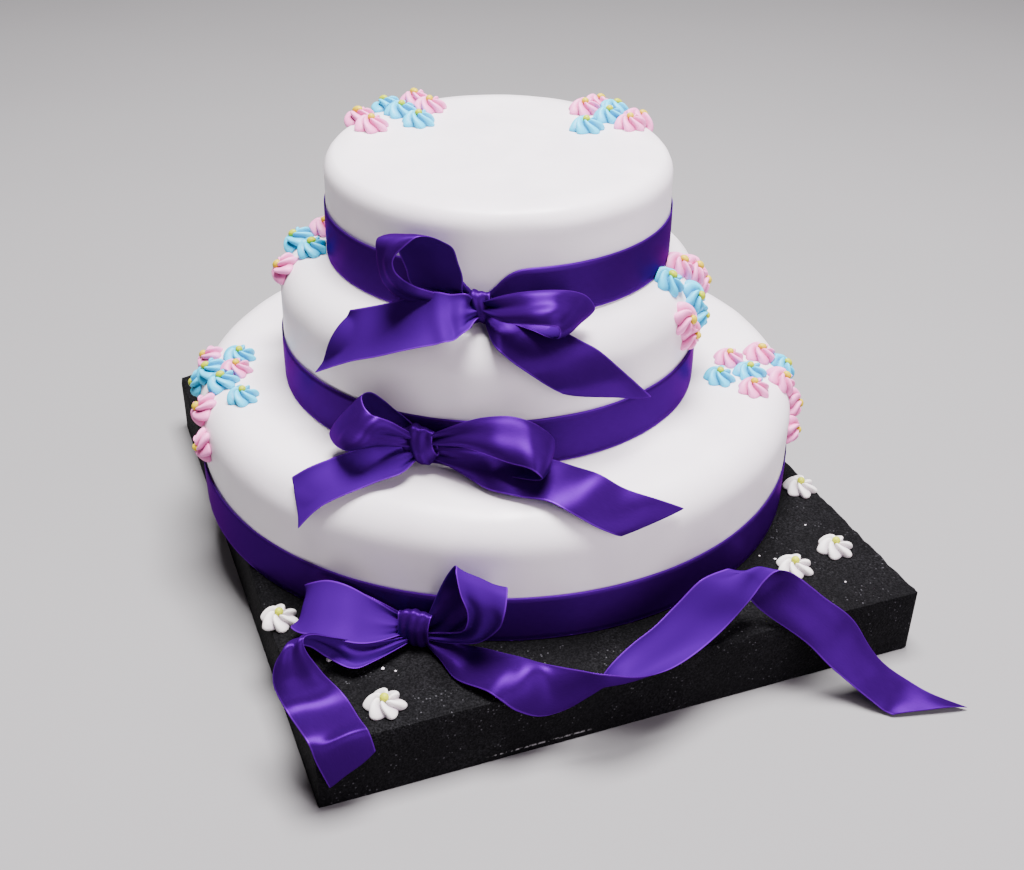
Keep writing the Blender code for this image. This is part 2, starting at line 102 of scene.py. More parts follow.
class Recipe:
    """A Principled material while its nodes are put together."""

    def __init__(self, name: str, **values: float | tuple[float, ...]) -> None:
        """Starts a material.

        Args:
            name: Name of the material.
            values: Shader socket values, with underscores for the spaces in a socket's name.
        """
        self.material = bpy.data.materials.new(name)
        self.material.use_nodes = True
        self.nodes = self.material.node_tree.nodes
        self.links = self.material.node_tree.links
        self.shader = self.nodes["Principled BSDF"]
        for key, value in values.items():
            self.shader.inputs[key.replace("_", " ")].default_value = value

    def add(self, kind: str, inputs: dict[str, object] | None = None, **settings: object) -> bpy.types.Node:
        """Adds a node.

        Args:
            kind: Node type without its ShaderNode prefix.
            inputs: Values or output sockets for its input sockets.
            settings: Properties of the node.

        Returns:
            The new node.
        """
        made = self.nodes.new(f"ShaderNode{kind}")
        for key, value in settings.items():
            setattr(made, key, value)
        for key, value in (inputs or {}).items():
            if isinstance(value, Socket):
                self.links.new(value, made.inputs[key])
            else:
                made.inputs[key].default_value = value
        return made

    def place(self) -> Socket:
        """Object coordinates, in metres."""
        return self.add("TexCoord").outputs["Object"]

    def grain(self, scale: float, detail: float = 3.0, stretch: Spot | None = None,
              source: Socket | None = None) -> Socket:
        """Noise over the piece.

        Args:
            scale: Features to the metre.
            detail: Octaves of the noise.
            stretch: Scale along each axis, if the grain runs one way.
            source: Coordinates to use in place of the object's.

        Returns:
            The noise's value.
        """
        spot = source or self.place()
        if stretch:
            spot = self.add("Mapping", {"Vector": spot, "Scale": stretch}).outputs["Vector"]
        return self.add("TexNoise", {"Vector": spot, "Scale": scale, "Detail": detail}).outputs["Fac"]

    def between(self, amount: Socket, low: tuple[float, float], high: tuple[float, float]) -> Socket:
        """Maps a range of values to another.

        Args:
            amount: The value.
            low: Where the input range starts and what it becomes there.
            high: Where the input range ends and what it becomes there.

        Returns:
            The mapped value, clamped.
        """
        mapped = self.add("MapRange", {
            "Value": amount, "From Min": low[0], "From Max": high[0], "To Min": low[1], "To Max": high[1],
        })
        return mapped.outputs["Result"]

    def blend(self, amount: Socket, first: object, second: object) -> Socket:
        """Mixes two colours.

        Args:
            amount: Share of the second colour.
            first: Colour or socket.
            second: Colour or socket.

        Returns:
            The mixed colour.
        """
        mixed = self.add("Mix", data_type="RGBA")
        self.links.new(amount, mixed.inputs["Factor"])
        for socket, colour in ((mixed.inputs[6], first), (mixed.inputs[7], second)):
            if isinstance(colour, Socket):
                self.links.new(colour, socket)
            else:
                socket.default_value = (*colour, 1.0)
        return mixed.outputs[2]

    def maths(self, operation: str, first: object, second: object = 0.0) -> Socket:
        """Does a sum on two values.

        Args:
            operation: Name of the sum.
            first: Number or socket.
            second: Number or socket.

        Returns:
            The result.
        """
        made = self.add("Math", operation=operation)
        for socket, value in ((made.inputs[0], first), (made.inputs[1], second)):
            if isinstance(value, Socket):
                self.links.new(value, socket)
            else:
                socket.default_value = value
        return made.outputs[0]

    def colour(self, source: Socket) -> None:
        """Joins a colour to the shader."""
        self.links.new(source, self.shader.inputs["Base Color"])

    def roughness(self, source: Socket) -> None:
        """Joins a roughness to the shader."""
        self.links.new(source, self.shader.inputs["Roughness"])

    def relief(self, height: Socket, depth: float, strength: float = 1.0) -> None:
        """Joins a height to the shader as fine relief.

        Args:
            height: Height from 0 to 1.
            depth: Millimetres between 0 and 1.
            strength: Share of the relief that shows.
        """
        bump = self.add("Bump", {"Height": height, "Distance": depth * MM, "Strength": strength})
        self.links.new(bump.outputs["Normal"], self.shader.inputs["Normal"])


@dataclass(frozen=True)
class SugarPaste:
    """White rolled icing: faintly mottled, soft and slightly satin."""

    white: Colour = (0.84, 0.80, 0.83)
    shade: Colour = (0.79, 0.74, 0.785)
    light_depth: Spot = (0.004, 0.0034, 0.003)
    mottle_scale: float = 26.0
    lustre_scale: float = 60.0
    broad_scale: float = 150.0
    fine_scale: float = 1400.0
    fine_share: float = 0.12
    relief_depth: float = 0.16

    def make(self, name: str) -> bpy.types.Material:
        """Makes the finish.

        Args:
            name: Name of the material.

        Returns:
            The material.
        """
        mix = Recipe(name, Subsurface_Weight=0.06, Subsurface_Radius=self.light_depth,
                     Specular_IOR_Level=0.42)
        mottle = mix.grain(self.mottle_scale, 4.0)
        mix.colour(mix.blend(mix.between(mottle, (0.40, 0.0), (0.72, 1.0)), self.white, self.shade))
        mix.roughness(mix.between(mix.grain(self.lustre_scale, 3.0), (0.3, 0.30), (0.7, 0.46)))
        fine = mix.maths("MULTIPLY", mix.grain(self.fine_scale, 2.0), self.fine_share)
        mix.relief(mix.maths("ADD", fine, mix.grain(self.broad_scale, 3.0)), self.relief_depth, 0.55)
        return mix.material


@dataclass(frozen=True)
class Satin:
    """Violet satin ribbon: a lustrous face, a matter back, and a fine bright woven edge."""

    deep: Colour = (0.025, 0.0, 0.088)
    bright: Colour = (0.050, 0.0, 0.152)
    back: Colour = (0.036, 0.0, 0.130)
    back_thread: Colour = (0.034, 0.0, 0.130)
    woven_edge: Colour = (0.14, 0.004, 0.42)
    glancing: tuple[float, float, float, float] = (0.62, 0.0, 0.88, 1.0)
    edge_starts: float = 0.462
    edge_full: float = 0.480
    lengthwise: Spot = (240.0, 5.0, 1.0)
    crosswise: Spot = (12.0, 180.0, 1.0)

    def _threads(self, mix: Recipe) -> tuple[Socket, Socket, Socket]:
        """Fine lengthwise threads and the woven edge.

        Args:
            mix: The material in the making.

        Returns:
            Thread value, edge mask and the UV coordinates.
        """
        spot = mix.add("UVMap", uv_map="ribbon").outputs["UV"]
        threads = mix.grain(1.0, 2.0, self.lengthwise, spot)
        across = mix.add("SeparateXYZ", {"Vector": spot}).outputs["X"]
        from_middle = mix.maths("ABSOLUTE", mix.maths("SUBTRACT", across, 0.5))
        edge = mix.between(from_middle, (self.edge_starts, 0.0), (self.edge_full, 1.0))
        return threads, edge, spot

    def face(self) -> bpy.types.Material:
        """Lustrous side of the ribbon."""
        mix = Recipe("satin_face", Metallic=0.55, Specular_IOR_Level=0.0, Anisotropic=0.75)
        mix.shader.inputs["Specular Tint"].default_value = self.glancing
        threads, edge, spot = self._threads(mix)
        body = mix.blend(mix.between(threads, (0.3, 0.0), (0.7, 0.35)), self.deep, self.bright)
        mix.colour(mix.blend(mix.maths("MULTIPLY", edge, 0.45), body, self.woven_edge))
        mix.roughness(mix.between(threads, (0.3, 0.37), (0.7, 0.45)))
        tangent = mix.add("Tangent", direction_type="UV_MAP", uv_map="ribbon")
        mix.links.new(tangent.outputs["Tangent"], mix.shader.inputs["Tangent"])
        mix.relief(mix.maths("ADD", threads, mix.maths("MULTIPLY", edge, 2.0)), 0.05, 0.5)
        return mix.material

    def reverse(self) -> bpy.types.Material:
        """Matter side of the ribbon."""
        mix = Recipe("satin_back", Metallic=0.10, Specular_IOR_Level=0.0)
        mix.shader.inputs["Specular Tint"].default_value = self.glancing
        threads, edge, spot = self._threads(mix)
        cross = mix.grain(1.0, 2.0, self.crosswise, spot)
        body = mix.blend(mix.between(cross, (0.3, 0.0), (0.7, 0.5)), self.back, self.back_thread)
        mix.colour(mix.blend(mix.maths("MULTIPLY", edge, 0.5), body, self.woven_edge))
        mix.roughness(mix.between(cross, (0.3, 0.5), (0.7, 0.62)))
        mix.relief(mix.maths("ADD", cross, threads), 0.04, 0.5)
        return mix.material


@dataclass(frozen=True)
class PipedIcing:
    """Piped sugar icing, with painted shade darkening it between the petals."""

    tint: Tint
    petal_light_depth: Spot = (0.0012, 0.0009, 0.0009)
    ball_light_depth: Spot = (0.0008, 0.0007, 0.0003)
    mottle_scale: float = 420.0
    mottle_share: float = 0.16
    ball_paler: float = 1.22
    petal_relief: float = 0.09
    ball_relief: float = 0.05

    def petals(self) -> bpy.types.Material:
        """Finish of the petals."""
        mix = Recipe(f"{self.tint.slot}_petals", Subsurface_Weight=0.10,
                     Subsurface_Radius=self.petal_light_depth, Specular_IOR_Level=0.4)
        depth = mix.add("Attribute", attribute_name="valley").outputs["Fac"]
        mottle = mix.maths("MULTIPLY", mix.grain(self.mottle_scale, 3.0), self.mottle_share)
        # Painted shade: the valley depth darkens the petal colour towards the shade colour between the
        # petals.
        deep = mix.between(mix.maths("ADD", depth, mottle), (0.12, 0.0), (0.95, 1.0))
        mix.colour(mix.blend(deep, self.tint.petal, self.tint.valley))
        mix.roughness(mix.between(mix.grain(900.0, 2.0), (0.3, 0.40), (0.7, 0.55)))
        mix.relief(mix.grain(1500.0, 3.0), self.petal_relief, 0.6)
        return mix.material

    def ball(self) -> bpy.types.Material:
        """Finish of the round centre."""
        mix = Recipe(f"{self.tint.slot}_centre", Subsurface_Weight=0.12,
                     Subsurface_Radius=self.ball_light_depth, Specular_IOR_Level=0.22)
        paler = tuple(channel * self.ball_paler for channel in self.tint.centre)
        mottle = mix.between(mix.grain(700.0, 2.0), (0.35, 0.0), (0.65, 1.0))
        mix.colour(mix.blend(mottle, self.tint.centre, paler))
        mix.roughness(mix.between(mix.grain(800.0, 2.0), (0.3, 0.32), (0.7, 0.45)))
        mix.relief(mix.grain(1300.0, 2.0), self.ball_relief, 0.5)
        return mix.material


@dataclass(frozen=True)
class BlackFoam:
    """Black foam with a fine open grain, lighter grey clouds that are partly dust and partly painted sheen,
    and small lighter specks painted in as glints.
    """

    black: Colour = (0.0022, 0.0022, 0.0026)
    # Lighter grey laid in clouds: partly dust, partly painted sheen.
    dust_and_sheen: Colour = (0.018, 0.018, 0.020)
    # Painted glints: colour of the small lighter specks.
    glint_speck: Colour = (0.055, 0.055, 0.06)
    scuffed: Colour = (0.22, 0.22, 0.22)
    cell_scale: float = 900.0
    speck_scale: float = 420.0
    scuff_level: float = 0.0029
    scuff_middle: float = -0.047
    scuff_half: tuple[float, float] = (0.020, 0.027)
    scuff_front: float = -0.1835

    def make(self) -> bpy.types.Material:
        """Makes the finish."""
        mix = Recipe("black_foam_grain", Specular_IOR_Level=0.06)
        spot = mix.place()
        cells = mix.add("TexVoronoi", {"Vector": spot, "Scale": self.cell_scale}, feature="F1")
        specks = mix.add("TexVoronoi", {"Vector": spot, "Scale": self.speck_scale, "Randomness": 1.0},
                         feature="F1")
        # Painted glints: small lighter specks where the foam would sparkle.
        painted_glint = mix.between(specks.outputs["Distance"], (0.12, 1.0), (0.20, 0.0))
        rare = mix.between(mix.grain(75.0, 2.0), (0.48, 0.0), (0.62, 1.0))
        cloud = mix.between(mix.grain(42.0, 5.0), (0.42, 0.0), (0.75, 1.0))
        fine = mix.between(mix.grain(1100.0, 3.0), (0.42, 0.0), (0.68, 1.0))
        # Partly dust, partly painted sheen: lighter grey mixed in clouds over the black.
        dust_and_sheen_share = mix.maths("MULTIPLY", mix.maths("ADD", mix.maths("MULTIPLY", cloud, 0.45), 0.28), fine)
        body = mix.blend(dust_and_sheen_share, self.black, self.dust_and_sheen)
        specked = mix.blend(mix.maths("MULTIPLY", painted_glint, rare), body, self.glint_speck)
        mix.colour(mix.blend(self._scuffs(mix, spot), specked, self.scuffed))
        mix.roughness(mix.between(cells.outputs["Distance"], (0.0, 0.62), (0.7, 0.9)))
        mix.relief(mix.maths("ADD", cells.outputs["Distance"], mix.grain(260.0, 4.0)), 0.5, 0.8)
        return mix.material

    def _scuffs(self, mix: Recipe, spot: Socket) -> Socket:
        """A broken line of light scuffs low on the front edge.

        Args:
            mix: The material in the making.
            spot: Object coordinates.

        Returns:
            Where the foam is scuffed, from 0 to 1.
        """
        axes = mix.add("SeparateXYZ", {"Vector": spot}).outputs
        off_line = mix.maths("ABSOLUTE", mix.maths("SUBTRACT", axes["Z"], self.scuff_level))
        on_line = mix.between(off_line, (0.0002, 1.0), (0.0006, 0.0))
        aside = mix.maths("ABSOLUTE", mix.maths("SUBTRACT", axes["X"], self.scuff_middle))
        along = mix.between(aside, (self.scuff_half[0], 1.0), (self.scuff_half[1], 0.0))
        front = mix.between(axes["Y"], (self.scuff_front, 1.0), (self.scuff_front + MM, 0.0))
        broken = mix.between(mix.grain(520.0, 2.0), (0.47, 0.0), (0.56, 1.0))
        return mix.maths("MULTIPLY", mix.maths("MULTIPLY", on_line, along),
                         mix.maths("MULTIPLY", front, broken))


@dataclass(frozen=True)
class StudioFloor:
    """Plain pale floor."""

    pale: Colour = (0.26, 0.26, 0.26)
    mottled: Colour = (0.25, 0.25, 0.25)

    def make(self) -> bpy.types.Material:
        """Makes the finish."""
        mix = Recipe("pale_floor", Specular_IOR_Level=0.1)
        mottle = mix.between(mix.grain(3.0, 2.0), (0.3, 0.0), (0.7, 1.0))
        mix.colour(mix.blend(mottle, self.pale, self.mottled))
        mix.shader.inputs["Roughness"].default_value = 0.95
        return mix.material


def as_object(name: str, shape: bmesh.types.BMesh, finishes: list[bpy.types.Material],
              smooth: bool = True) -> bpy.types.Object:
    """Turns a bmesh in millimetres into an object in metres.

    Args:
        name: Name of the object.
        shape: The bmesh, which is freed.
        finishes: Its materials, in slot order.
        smooth: True for smooth shading.

    Returns:
        The new object, linked to the scene.
    """
    bmesh.ops.scale(shape, vec=(MM, MM, MM), verts=shape.verts)
    mesh = bpy.data.meshes.new(name)
    shape.to_mesh(mesh)
    shape.free()
    if smooth:
        mesh.shade_smooth()
    for finish in finishes:
        mesh.materials.append(finish)
    item = bpy.data.objects.new(name, mesh)
    bpy.context.scene.collection.objects.link(item)
    return item


def subdivide(item: bpy.types.Object, levels: int) -> None:
    """Gives a piece a smooth subdivision.

    Args:
        item: The piece.
        levels: Levels, the same in the view and in the render.
    """
    smooth = item.modifiers.new("smooth", "SUBSURF")
    smooth.levels = levels
    smooth.render_levels = levels


def thicken(item: bpy.types.Object, thickness: float) -> None:
    """Gives a ribbon its thickness, with its second material behind.

    Args:
        item: The ribbon.
        thickness: In millimetres.
    """
    cloth = item.modifiers.new("cloth", "SOLIDIFY")
    cloth.thickness = thickness * MM
    cloth.offset = 0.0
    cloth.material_offset = 1


def degrees_between(first: float, second: float) -> float:
    """Turn from one bearing to another, from -180 to 180 degrees."""
    return (second - first + 180) % 360 - 180


def wobble(spot: Vector, size: float, amount: float) -> float:
    """Gentle unevenness.

    Args:
        spot: Where, in millimetres.
        size: Width of the unevenness in millimetres.
        amount: Its most, in millimetres.

    Returns:
        The offset there.
    """
    return noise.noise(spot / size) * amount


@dataclass(frozen=True)
class Dent:
    """A soft press mark or crease in the icing."""

    bearing: float
    along: float
    across_size: float
    along_size: float
    depth: float


@dataclass(frozen=True)
class Tier:
    """A round cake under rolled icing."""

    name: str
    centre: tuple[float, float]
    radius: float
    foot: float
    height: float
    shoulder: float
    dents: tuple[Dent, ...] = ()
    seat: float = 0.3
    side_step: float = 2.6
    top_step: float = 3.0
    round_steps: int = 180
    slow_wave: tuple[float, float] = (46.0, 0.55)
    quick_wave: tuple[float, float] = (17.0, 0.16)
    drawn_back: float = 0.15
    still_foot: float = 8.0

    @property
    def top(self) -> float:
        """Level of the flat top."""
        return self.foot + self.height

    @property
    def side_length(self) -> float:
        """Distance along the skin from the start of the rounded edge to the foot."""
        return self.shoulder * math.pi / 2 + self.height - self.shoulder

    def profile(self, along: float) -> tuple[float, float, float]:
        """Shape of the skin.

        Args:
            along: Distance along the skin from where the rounded edge starts, negative on the top.

        Returns:
            Radius, level, and the turn from facing up to facing out, in radians.
        """
        turn = min(max(along / self.shoulder, 0.0), math.pi / 2)
        radius = self.radius - self.shoulder + self.shoulder * math.sin(turn) + min(along, 0.0)
        drop = max(along - self.shoulder * math.pi / 2, 0.0)
        return radius, self.top - self.shoulder + self.shoulder * math.cos(turn) - drop, turn

    def skin(self, bearing: float, along: float, lift: float = 0.0) -> Vector:
        """Point over the icing.

        Args:
            bearing: Direction from the axis, in radians.
            along: Distance along the skin from the rounded edge.
            lift: Height over the skin.

        Returns:
            The point.
        """
        radius, level, turn = self.profile(along)
        radius += lift * math.sin(turn)
        right, back = math.cos(bearing) * radius, math.sin(bearing) * radius
        return Vector((self.centre[0] + right, self.centre[1] + back, level + lift * math.cos(turn)))

    def clear(self, point: Vector, margin: float) -> Vector:
        """Moves a point that is too near the cake straight out of it.

        Args:
            point: The point.
            margin: Least distance to the icing.

        Returns:
            The point, moved if it had to be.
        """
        flat = Vector((point.x - self.centre[0], point.y - self.centre[1]))
        reach, level = flat.length, point.z
        over_side = reach - (self.radius - self.shoulder)
        over_top = point.z - (self.top - self.shoulder)
        if reach < 1.0 or point.z < self.foot - margin:
            return point
        if over_side > 0 and over_top > 0:
            distance = math.hypot(over_side, over_top)
            if distance >= self.shoulder + margin:
                return point
            scale = (self.shoulder + margin) / distance
            reach = self.radius - self.shoulder + over_side * scale
            level = self.top - self.shoulder + over_top * scale
        elif over_side > 0:
            reach = max(reach, self.radius + margin)
        else:
            level = max(level, self.top + margin)
        flat = flat.normalized() * reach
        return Vector((self.centre[0] + flat.x, self.centre[1] + flat.y, level))

    def _pressed(self, bearing: float, along: float) -> float:
        """How far the dents and the paste's unevenness move the skin.

        Args:
            bearing: Direction from the axis, in degrees.
            along: Distance along the skin from the rounded edge.

        Returns:
            The offset outwards, in millimetres.
        """
        reach = self.profile(along)[0]
        offset = 0.0
        for dent in self.dents:
            across = math.radians(degrees_between(dent.bearing, bearing)) * reach / dent.across_size
            down = (along - dent.along) / dent.along_size
            offset -= dent.depth * math.exp(-across * across - down * down)
        return offset

    def build(self, finish: bpy.types.Material) -> bpy.types.Object:
        """Models the iced cake.

        Args:
            finish: Its icing.

        Returns:
            The piece.
        """
        shape = bmesh.new()
        rings = int(self.side_length / self.side_step)
        stops = [self.side_length - self.seat - step * self.side_step for step in range(rings)]
        rings = int((self.radius - self.shoulder) / self.top_step)
        stops += [-self.top_step * step for step in range(1, rings)]
        outline = [shape.verts.new((self.centre[0] + self.profile(s)[0], self.centre[1], self.profile(s)[1]))
                   for s in stops]
        outline.append(shape.verts.new((self.centre[0], self.centre[1], self.top)))
        edges = [shape.edges.new(pair) for pair in zip(outline, outline[1:])]
        bmesh.ops.spin(shape, geom=outline + edges, cent=(*self.centre, 0.0), axis=(0, 0, 1), angle=math.tau,
                       steps=self.round_steps, use_merge=True, use_duplicate=False)
        bmesh.ops.remove_doubles(shape, verts=shape.verts, dist=0.01)
        rim = [edge for edge in shape.edges if edge.is_boundary]
        bmesh.ops.contextual_create(shape, geom=rim)
        bmesh.ops.recalc_face_normals(shape, faces=shape.faces)
        shape.normal_update()
        for corner in shape.verts:
            flat = Vector((corner.co.x - self.centre[0], corner.co.y - self.centre[1]))
            bearing = math.degrees(math.atan2(flat.y, flat.x))
            over_side = flat.length - (self.radius - self.shoulder)
            over_top = corner.co.z - (self.top - self.shoulder)
            if over_side <= 0:
                along = over_side
            elif over_top > 0:
                along = self.shoulder * math.atan2(over_side, over_top)
            else:
                along = self.shoulder * math.pi / 2 - over_top
            offset = wobble(corner.co, *self.slow_wave)
            offset += wobble(corner.co + Vector((90, 0, 0)), *self.quick_wave)
            fade = min(1.0, max(corner.co.z - self.foot - self.seat, 0.0) / self.still_foot)
            corner.co += corner.normal * (offset - self.drawn_back + self._pressed(bearing, along)) * fade
        item = as_object(f"iced_{self.name}_tier", shape, [finish])
        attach(item, "root")
        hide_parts(f"tier_{self.name}")
        return item


BOTTOM = Tier("bottom", (0.0, 0.0), 157.0, 35.0, 65.4, 19.0, (
    Dent(-112, -12, 14, 4, 0.5), Dent(-118, 1, 12, 3, 0.4), Dent(-111, 6, 12, 3, 0.45),
    Dent(178, -24, 5, 20, 0.7), Dent(-161, -18, 4, 16, 0.8), Dent(-150, 20, 22, 6, 0.4),
))
MIDDLE = Tier("middle", (-5.2, -3.8), 106.0, 100.4, 66.0, 21.0, (
    Dent(-68, 24, 15, 5, 0.45), Dent(-168, 34, 10, 9, 0.5), Dent(-95, 28, 20, 5, 0.3),
))
TOP = Tier("top", (-1.2, -5.4), 85.0, 166.4, 51.2, 10.0, (
    Dent(-105, 14, 12, 5, 0.35), Dent(-75, 20, 18, 5, 0.3), Dent(-140, 12, 10, 6, 0.4),
))
TIERS = (BOTTOM, MIDDLE, TOP)


@dataclass(frozen=True)
class Board:
    """Foam board cut by hand."""

    left: float = -150.0
    right: float = 151.0
    front: float = -185.0
    back: float = 150.0
    thickness: float = 35.0
    cell: float = 3.5
    cut_corner: float = 2.2
    worn: float = 1.25
    worn_reach: float = 2.5
    uneven: float = 0.18
    deepest_top: float = 1.4

    def lift(self, point: Vector, margin: float) -> Vector:
        """Keeps a point of ribbon off the board and the table.

        Args:
            point: The point.
            margin: Least distance.

        Returns:
            The point, moved if it had to be.
        """
        over = self.left < point.x < self.right and self.front < point.y < self.back
        if over and point.z < self.thickness and point.y - self.front < self.thickness - point.z:
            point.y = self.front - margin
        elif over:
            point.z = max(point.z, self.thickness + margin)
        elif point.y > self.front - margin and point.z < self.thickness and point.x < self.right:
            point.y = self.front - margin
        point.z = max(point.z, margin)
        return point

    def build(self, finish: bpy.types.Material) -> bpy.types.Object:
        """Models the board.

        Args:
            finish: Its foam.

        Returns:
            The piece.
        """
        shape = bmesh.new()
        size = Vector((self.right - self.left, self.back - self.front, self.thickness))
        middle = Vector(((self.left + self.right) / 2, (self.front + self.back) / 2, self.thickness / 2))
        block = Matrix.Translation(middle) @ Matrix.Diagonal((*size, 1.0))
        bmesh.ops.create_cube(shape, size=1.0, matrix=block)
        corner_edge = [edge for edge in shape.edges
                       if all(end.co.x > middle.x and end.co.y < middle.y for end in edge.verts)]
        bmesh.ops.bevel(shape, geom=corner_edge, offset=self.cut_corner, offset_type="OFFSET", segments=2,
                        profile=0.5, affect="EDGES", material=-1)
        sides = ((0, self.left, self.right), (1, self.front, self.back), (2, 0.0, self.thickness))
        for axis, low, high in sides:
            steps = int((high - low) / self.cell)
            for step in range(1, steps):
                at = Vector((0, 0, 0))
                at[axis] = low + (high - low) * step / steps
                across = Vector((0, 0, 0))
                across[axis] = 1.0
                everything = shape.verts[:] + shape.edges[:] + shape.faces[:]
                bmesh.ops.bisect_plane(shape, geom=everything, dist=0.001, plane_co=at, plane_no=across)
        for corner in shape.verts:
            self._roughen(corner)
        item = as_object("cut_foam_board", shape, [finish])
        item.data.set_sharp_from_angle(angle=math.radians(50))
        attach(item, "root")
        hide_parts("board")
        return item

    def _roughen(self, corner: bmesh.types.BMVert) -> None:
        """Wears a corner of the mesh back a little, most along the board's edges."""
        spot = corner.co.copy()
        inside = Vector((
            min(spot.x - self.left, self.right - spot.x),
            min(spot.y - self.front, self.back - spot.y),
            self.thickness - spot.z,
        ))
        near = sorted(inside)[:2]
        on_edge = max(0.0, 1.0 - near[1] / self.worn_reach) * max(0.0, 1.0 - near[0] / self.worn_reach)
        crumbled = max(0.0, noise.noise(spot / 1.9 + Vector((7, 3, 1))))
        rough = 0.5 + 0.5 * noise.noise(spot / 5.5) + 0.6 * crumbled
        bite = on_edge * self.worn * rough + self.uneven * abs(noise.noise(spot / 9.0))
        if spot.z < 0.01:
            bite *= 0.5
        for axis, low, high in ((0, self.left, self.right), (1, self.front, self.back)):
            if spot[axis] - low < 0.6:
                corner.co[axis] += bite
            elif high - spot[axis] < 0.6:
                corner.co[axis] -= bite
        if self.thickness - spot.z < 0.01:
            corner.co.z -= min(bite, self.deepest_top)

    def scatter_crumbs(self, spots: list[Spot], finish: bpy.types.Material) -> bpy.types.Object:
        """Lays small crumbs of icing on the board.

        Args:
            spots: Place on the board and size of each crumb.
            finish: Their icing.

        Returns:
            The crumbs, as one piece.
        """
        draw = random.Random(5)
        shape = bmesh.new()
        for across, along, size in spots:
            made = bmesh.ops.create_icosphere(shape, subdivisions=1, radius=size / 2)["verts"]
            for corner in made:
                corner.co *= draw.uniform(0.7, 1.2)
                corner.co.z *= 0.6
            low = min(corner.co.z for corner in made)
            shift = Vector((across, along, self.thickness - low - 0.05))
            bmesh.ops.translate(shape, vec=shift, verts=made)
        item = as_object("icing_crumbs", shape, [finish])
        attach(item, "root")
        return item


BOARD = Board()


def off_the_cake(point: Vector, margin: float) -> Vector:
    """Keeps a point of ribbon off the icing, the board and the table.

    Args:
        point: The point.
        margin: Least distance to the icing.

    Returns:
        The point, moved if it had to be.
    """
    for tier in TIERS:
        point = tier.clear(point, margin)
    return BOARD.lift(point, 0.5)


@dataclass(frozen=True)
class Band:
    """Satin ribbon wrapped once round the foot of a tier, its end lapped at the back."""

    tier: Tier
    width: float = 24.6
    gap: float = 0.55
    thickness: float = 0.35
    lap: float = 14.0
    round_steps: int = 360
    rows: int = 8
    lapped_at: float = 75.0
    lap_lift: float = 0.5
    tied_at: float = 0.0
    drawn_in: float = 0.0
    pinch_half: float = 10.0
    pinch_folds: float = 2.5

    def build(self, finishes: list[bpy.types.Material]) -> bpy.types.Object:
        """Models the band.

        Args:
            finishes: Face and back of the ribbon.

        Returns:
            The piece.
        """
        reach = self.tier.radius + self.gap
        lap_turn = self.lap / reach
        low = self.tier.foot + 0.5
        centre = (*self.tier.centre, 0.0)
        shape = bmesh.new()
        layer = shape.loops.layers.uv.new("ribbon")
        start = math.radians(self.lapped_at)
        right, back = centre[0] + math.cos(start) * reach, centre[1] + math.sin(start) * reach
        spots = [shape.verts.new((right, back, low + self.width * row / self.rows))
                 for row in range(self.rows + 1)]
        edges = [shape.edges.new(pair) for pair in zip(spots, spots[1:])]
        bmesh.ops.spin(shape, geom=spots + edges, cent=centre, axis=(0, 0, 1), angle=math.tau + lap_turn,
                       steps=self.round_steps, use_merge=False, use_duplicate=False)
        shape.verts.index_update()
        columns = {corner: index // (self.rows + 1) for index, corner in enumerate(shape.verts)}
        rate = (math.tau + lap_turn) / self.round_steps
        for face in shape.faces:
            for loop in face.loops:
                run = columns[loop.vert] * rate * reach / self.width
                loop[layer].uv = ((loop.vert.co.z - low) / self.width, run)
        for corner in shape.verts:
            turned = columns[corner] * rate
            out = Vector((corner.co.x - centre[0], corner.co.y - centre[1], 0.0)).normalized()
            lifted = self.lap_lift * min(1.0, max(0.0, turned - math.tau + 0.02) / 0.02)
            share = (corner.co.z - low) / self.width
            belly = 0.12 * math.sin(math.pi * share) + 0.10 * wobble(corner.co, 30.0, 1.0)
            bearing = math.degrees(math.atan2(out.y, out.x))
            aside = math.radians(degrees_between(self.tied_at, bearing)) * reach
            pull = math.exp(-(aside / self.pinch_half) ** 2) * self.drawn_in
            corner.co.z -= pull * share - 0.2 * pull * (1.0 - share)
            belly += 0.05 * pull * (1.0 + math.cos(math.tau * self.pinch_folds * share))
            corner.co += out * (lifted + max(belly, -0.05))
            corner.co.z += 0.12 * noise.noise(Vector((turned * 7.0, share, self.tier.radius)))
        bmesh.ops.recalc_face_normals(shape, faces=shape.faces)
        item = as_object(f"satin_band_{self.tier.name}", shape, finishes)
        first = item.data.polygons[0]
        outward = Vector((first.center.x - centre[0] * MM, first.center.y - centre[1] * MM, 0.0))
        if first.normal.dot(outward) < 0:
            item.data.flip_normals()
        thicken(item, self.thickness)
        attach(item, "root")
        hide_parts(f"band_{self.tier.name}")
        return item


BANDS = (Band(BOTTOM), Band(MIDDLE), Band(TOP, tied_at=-115.9, drawn_in=13.0))


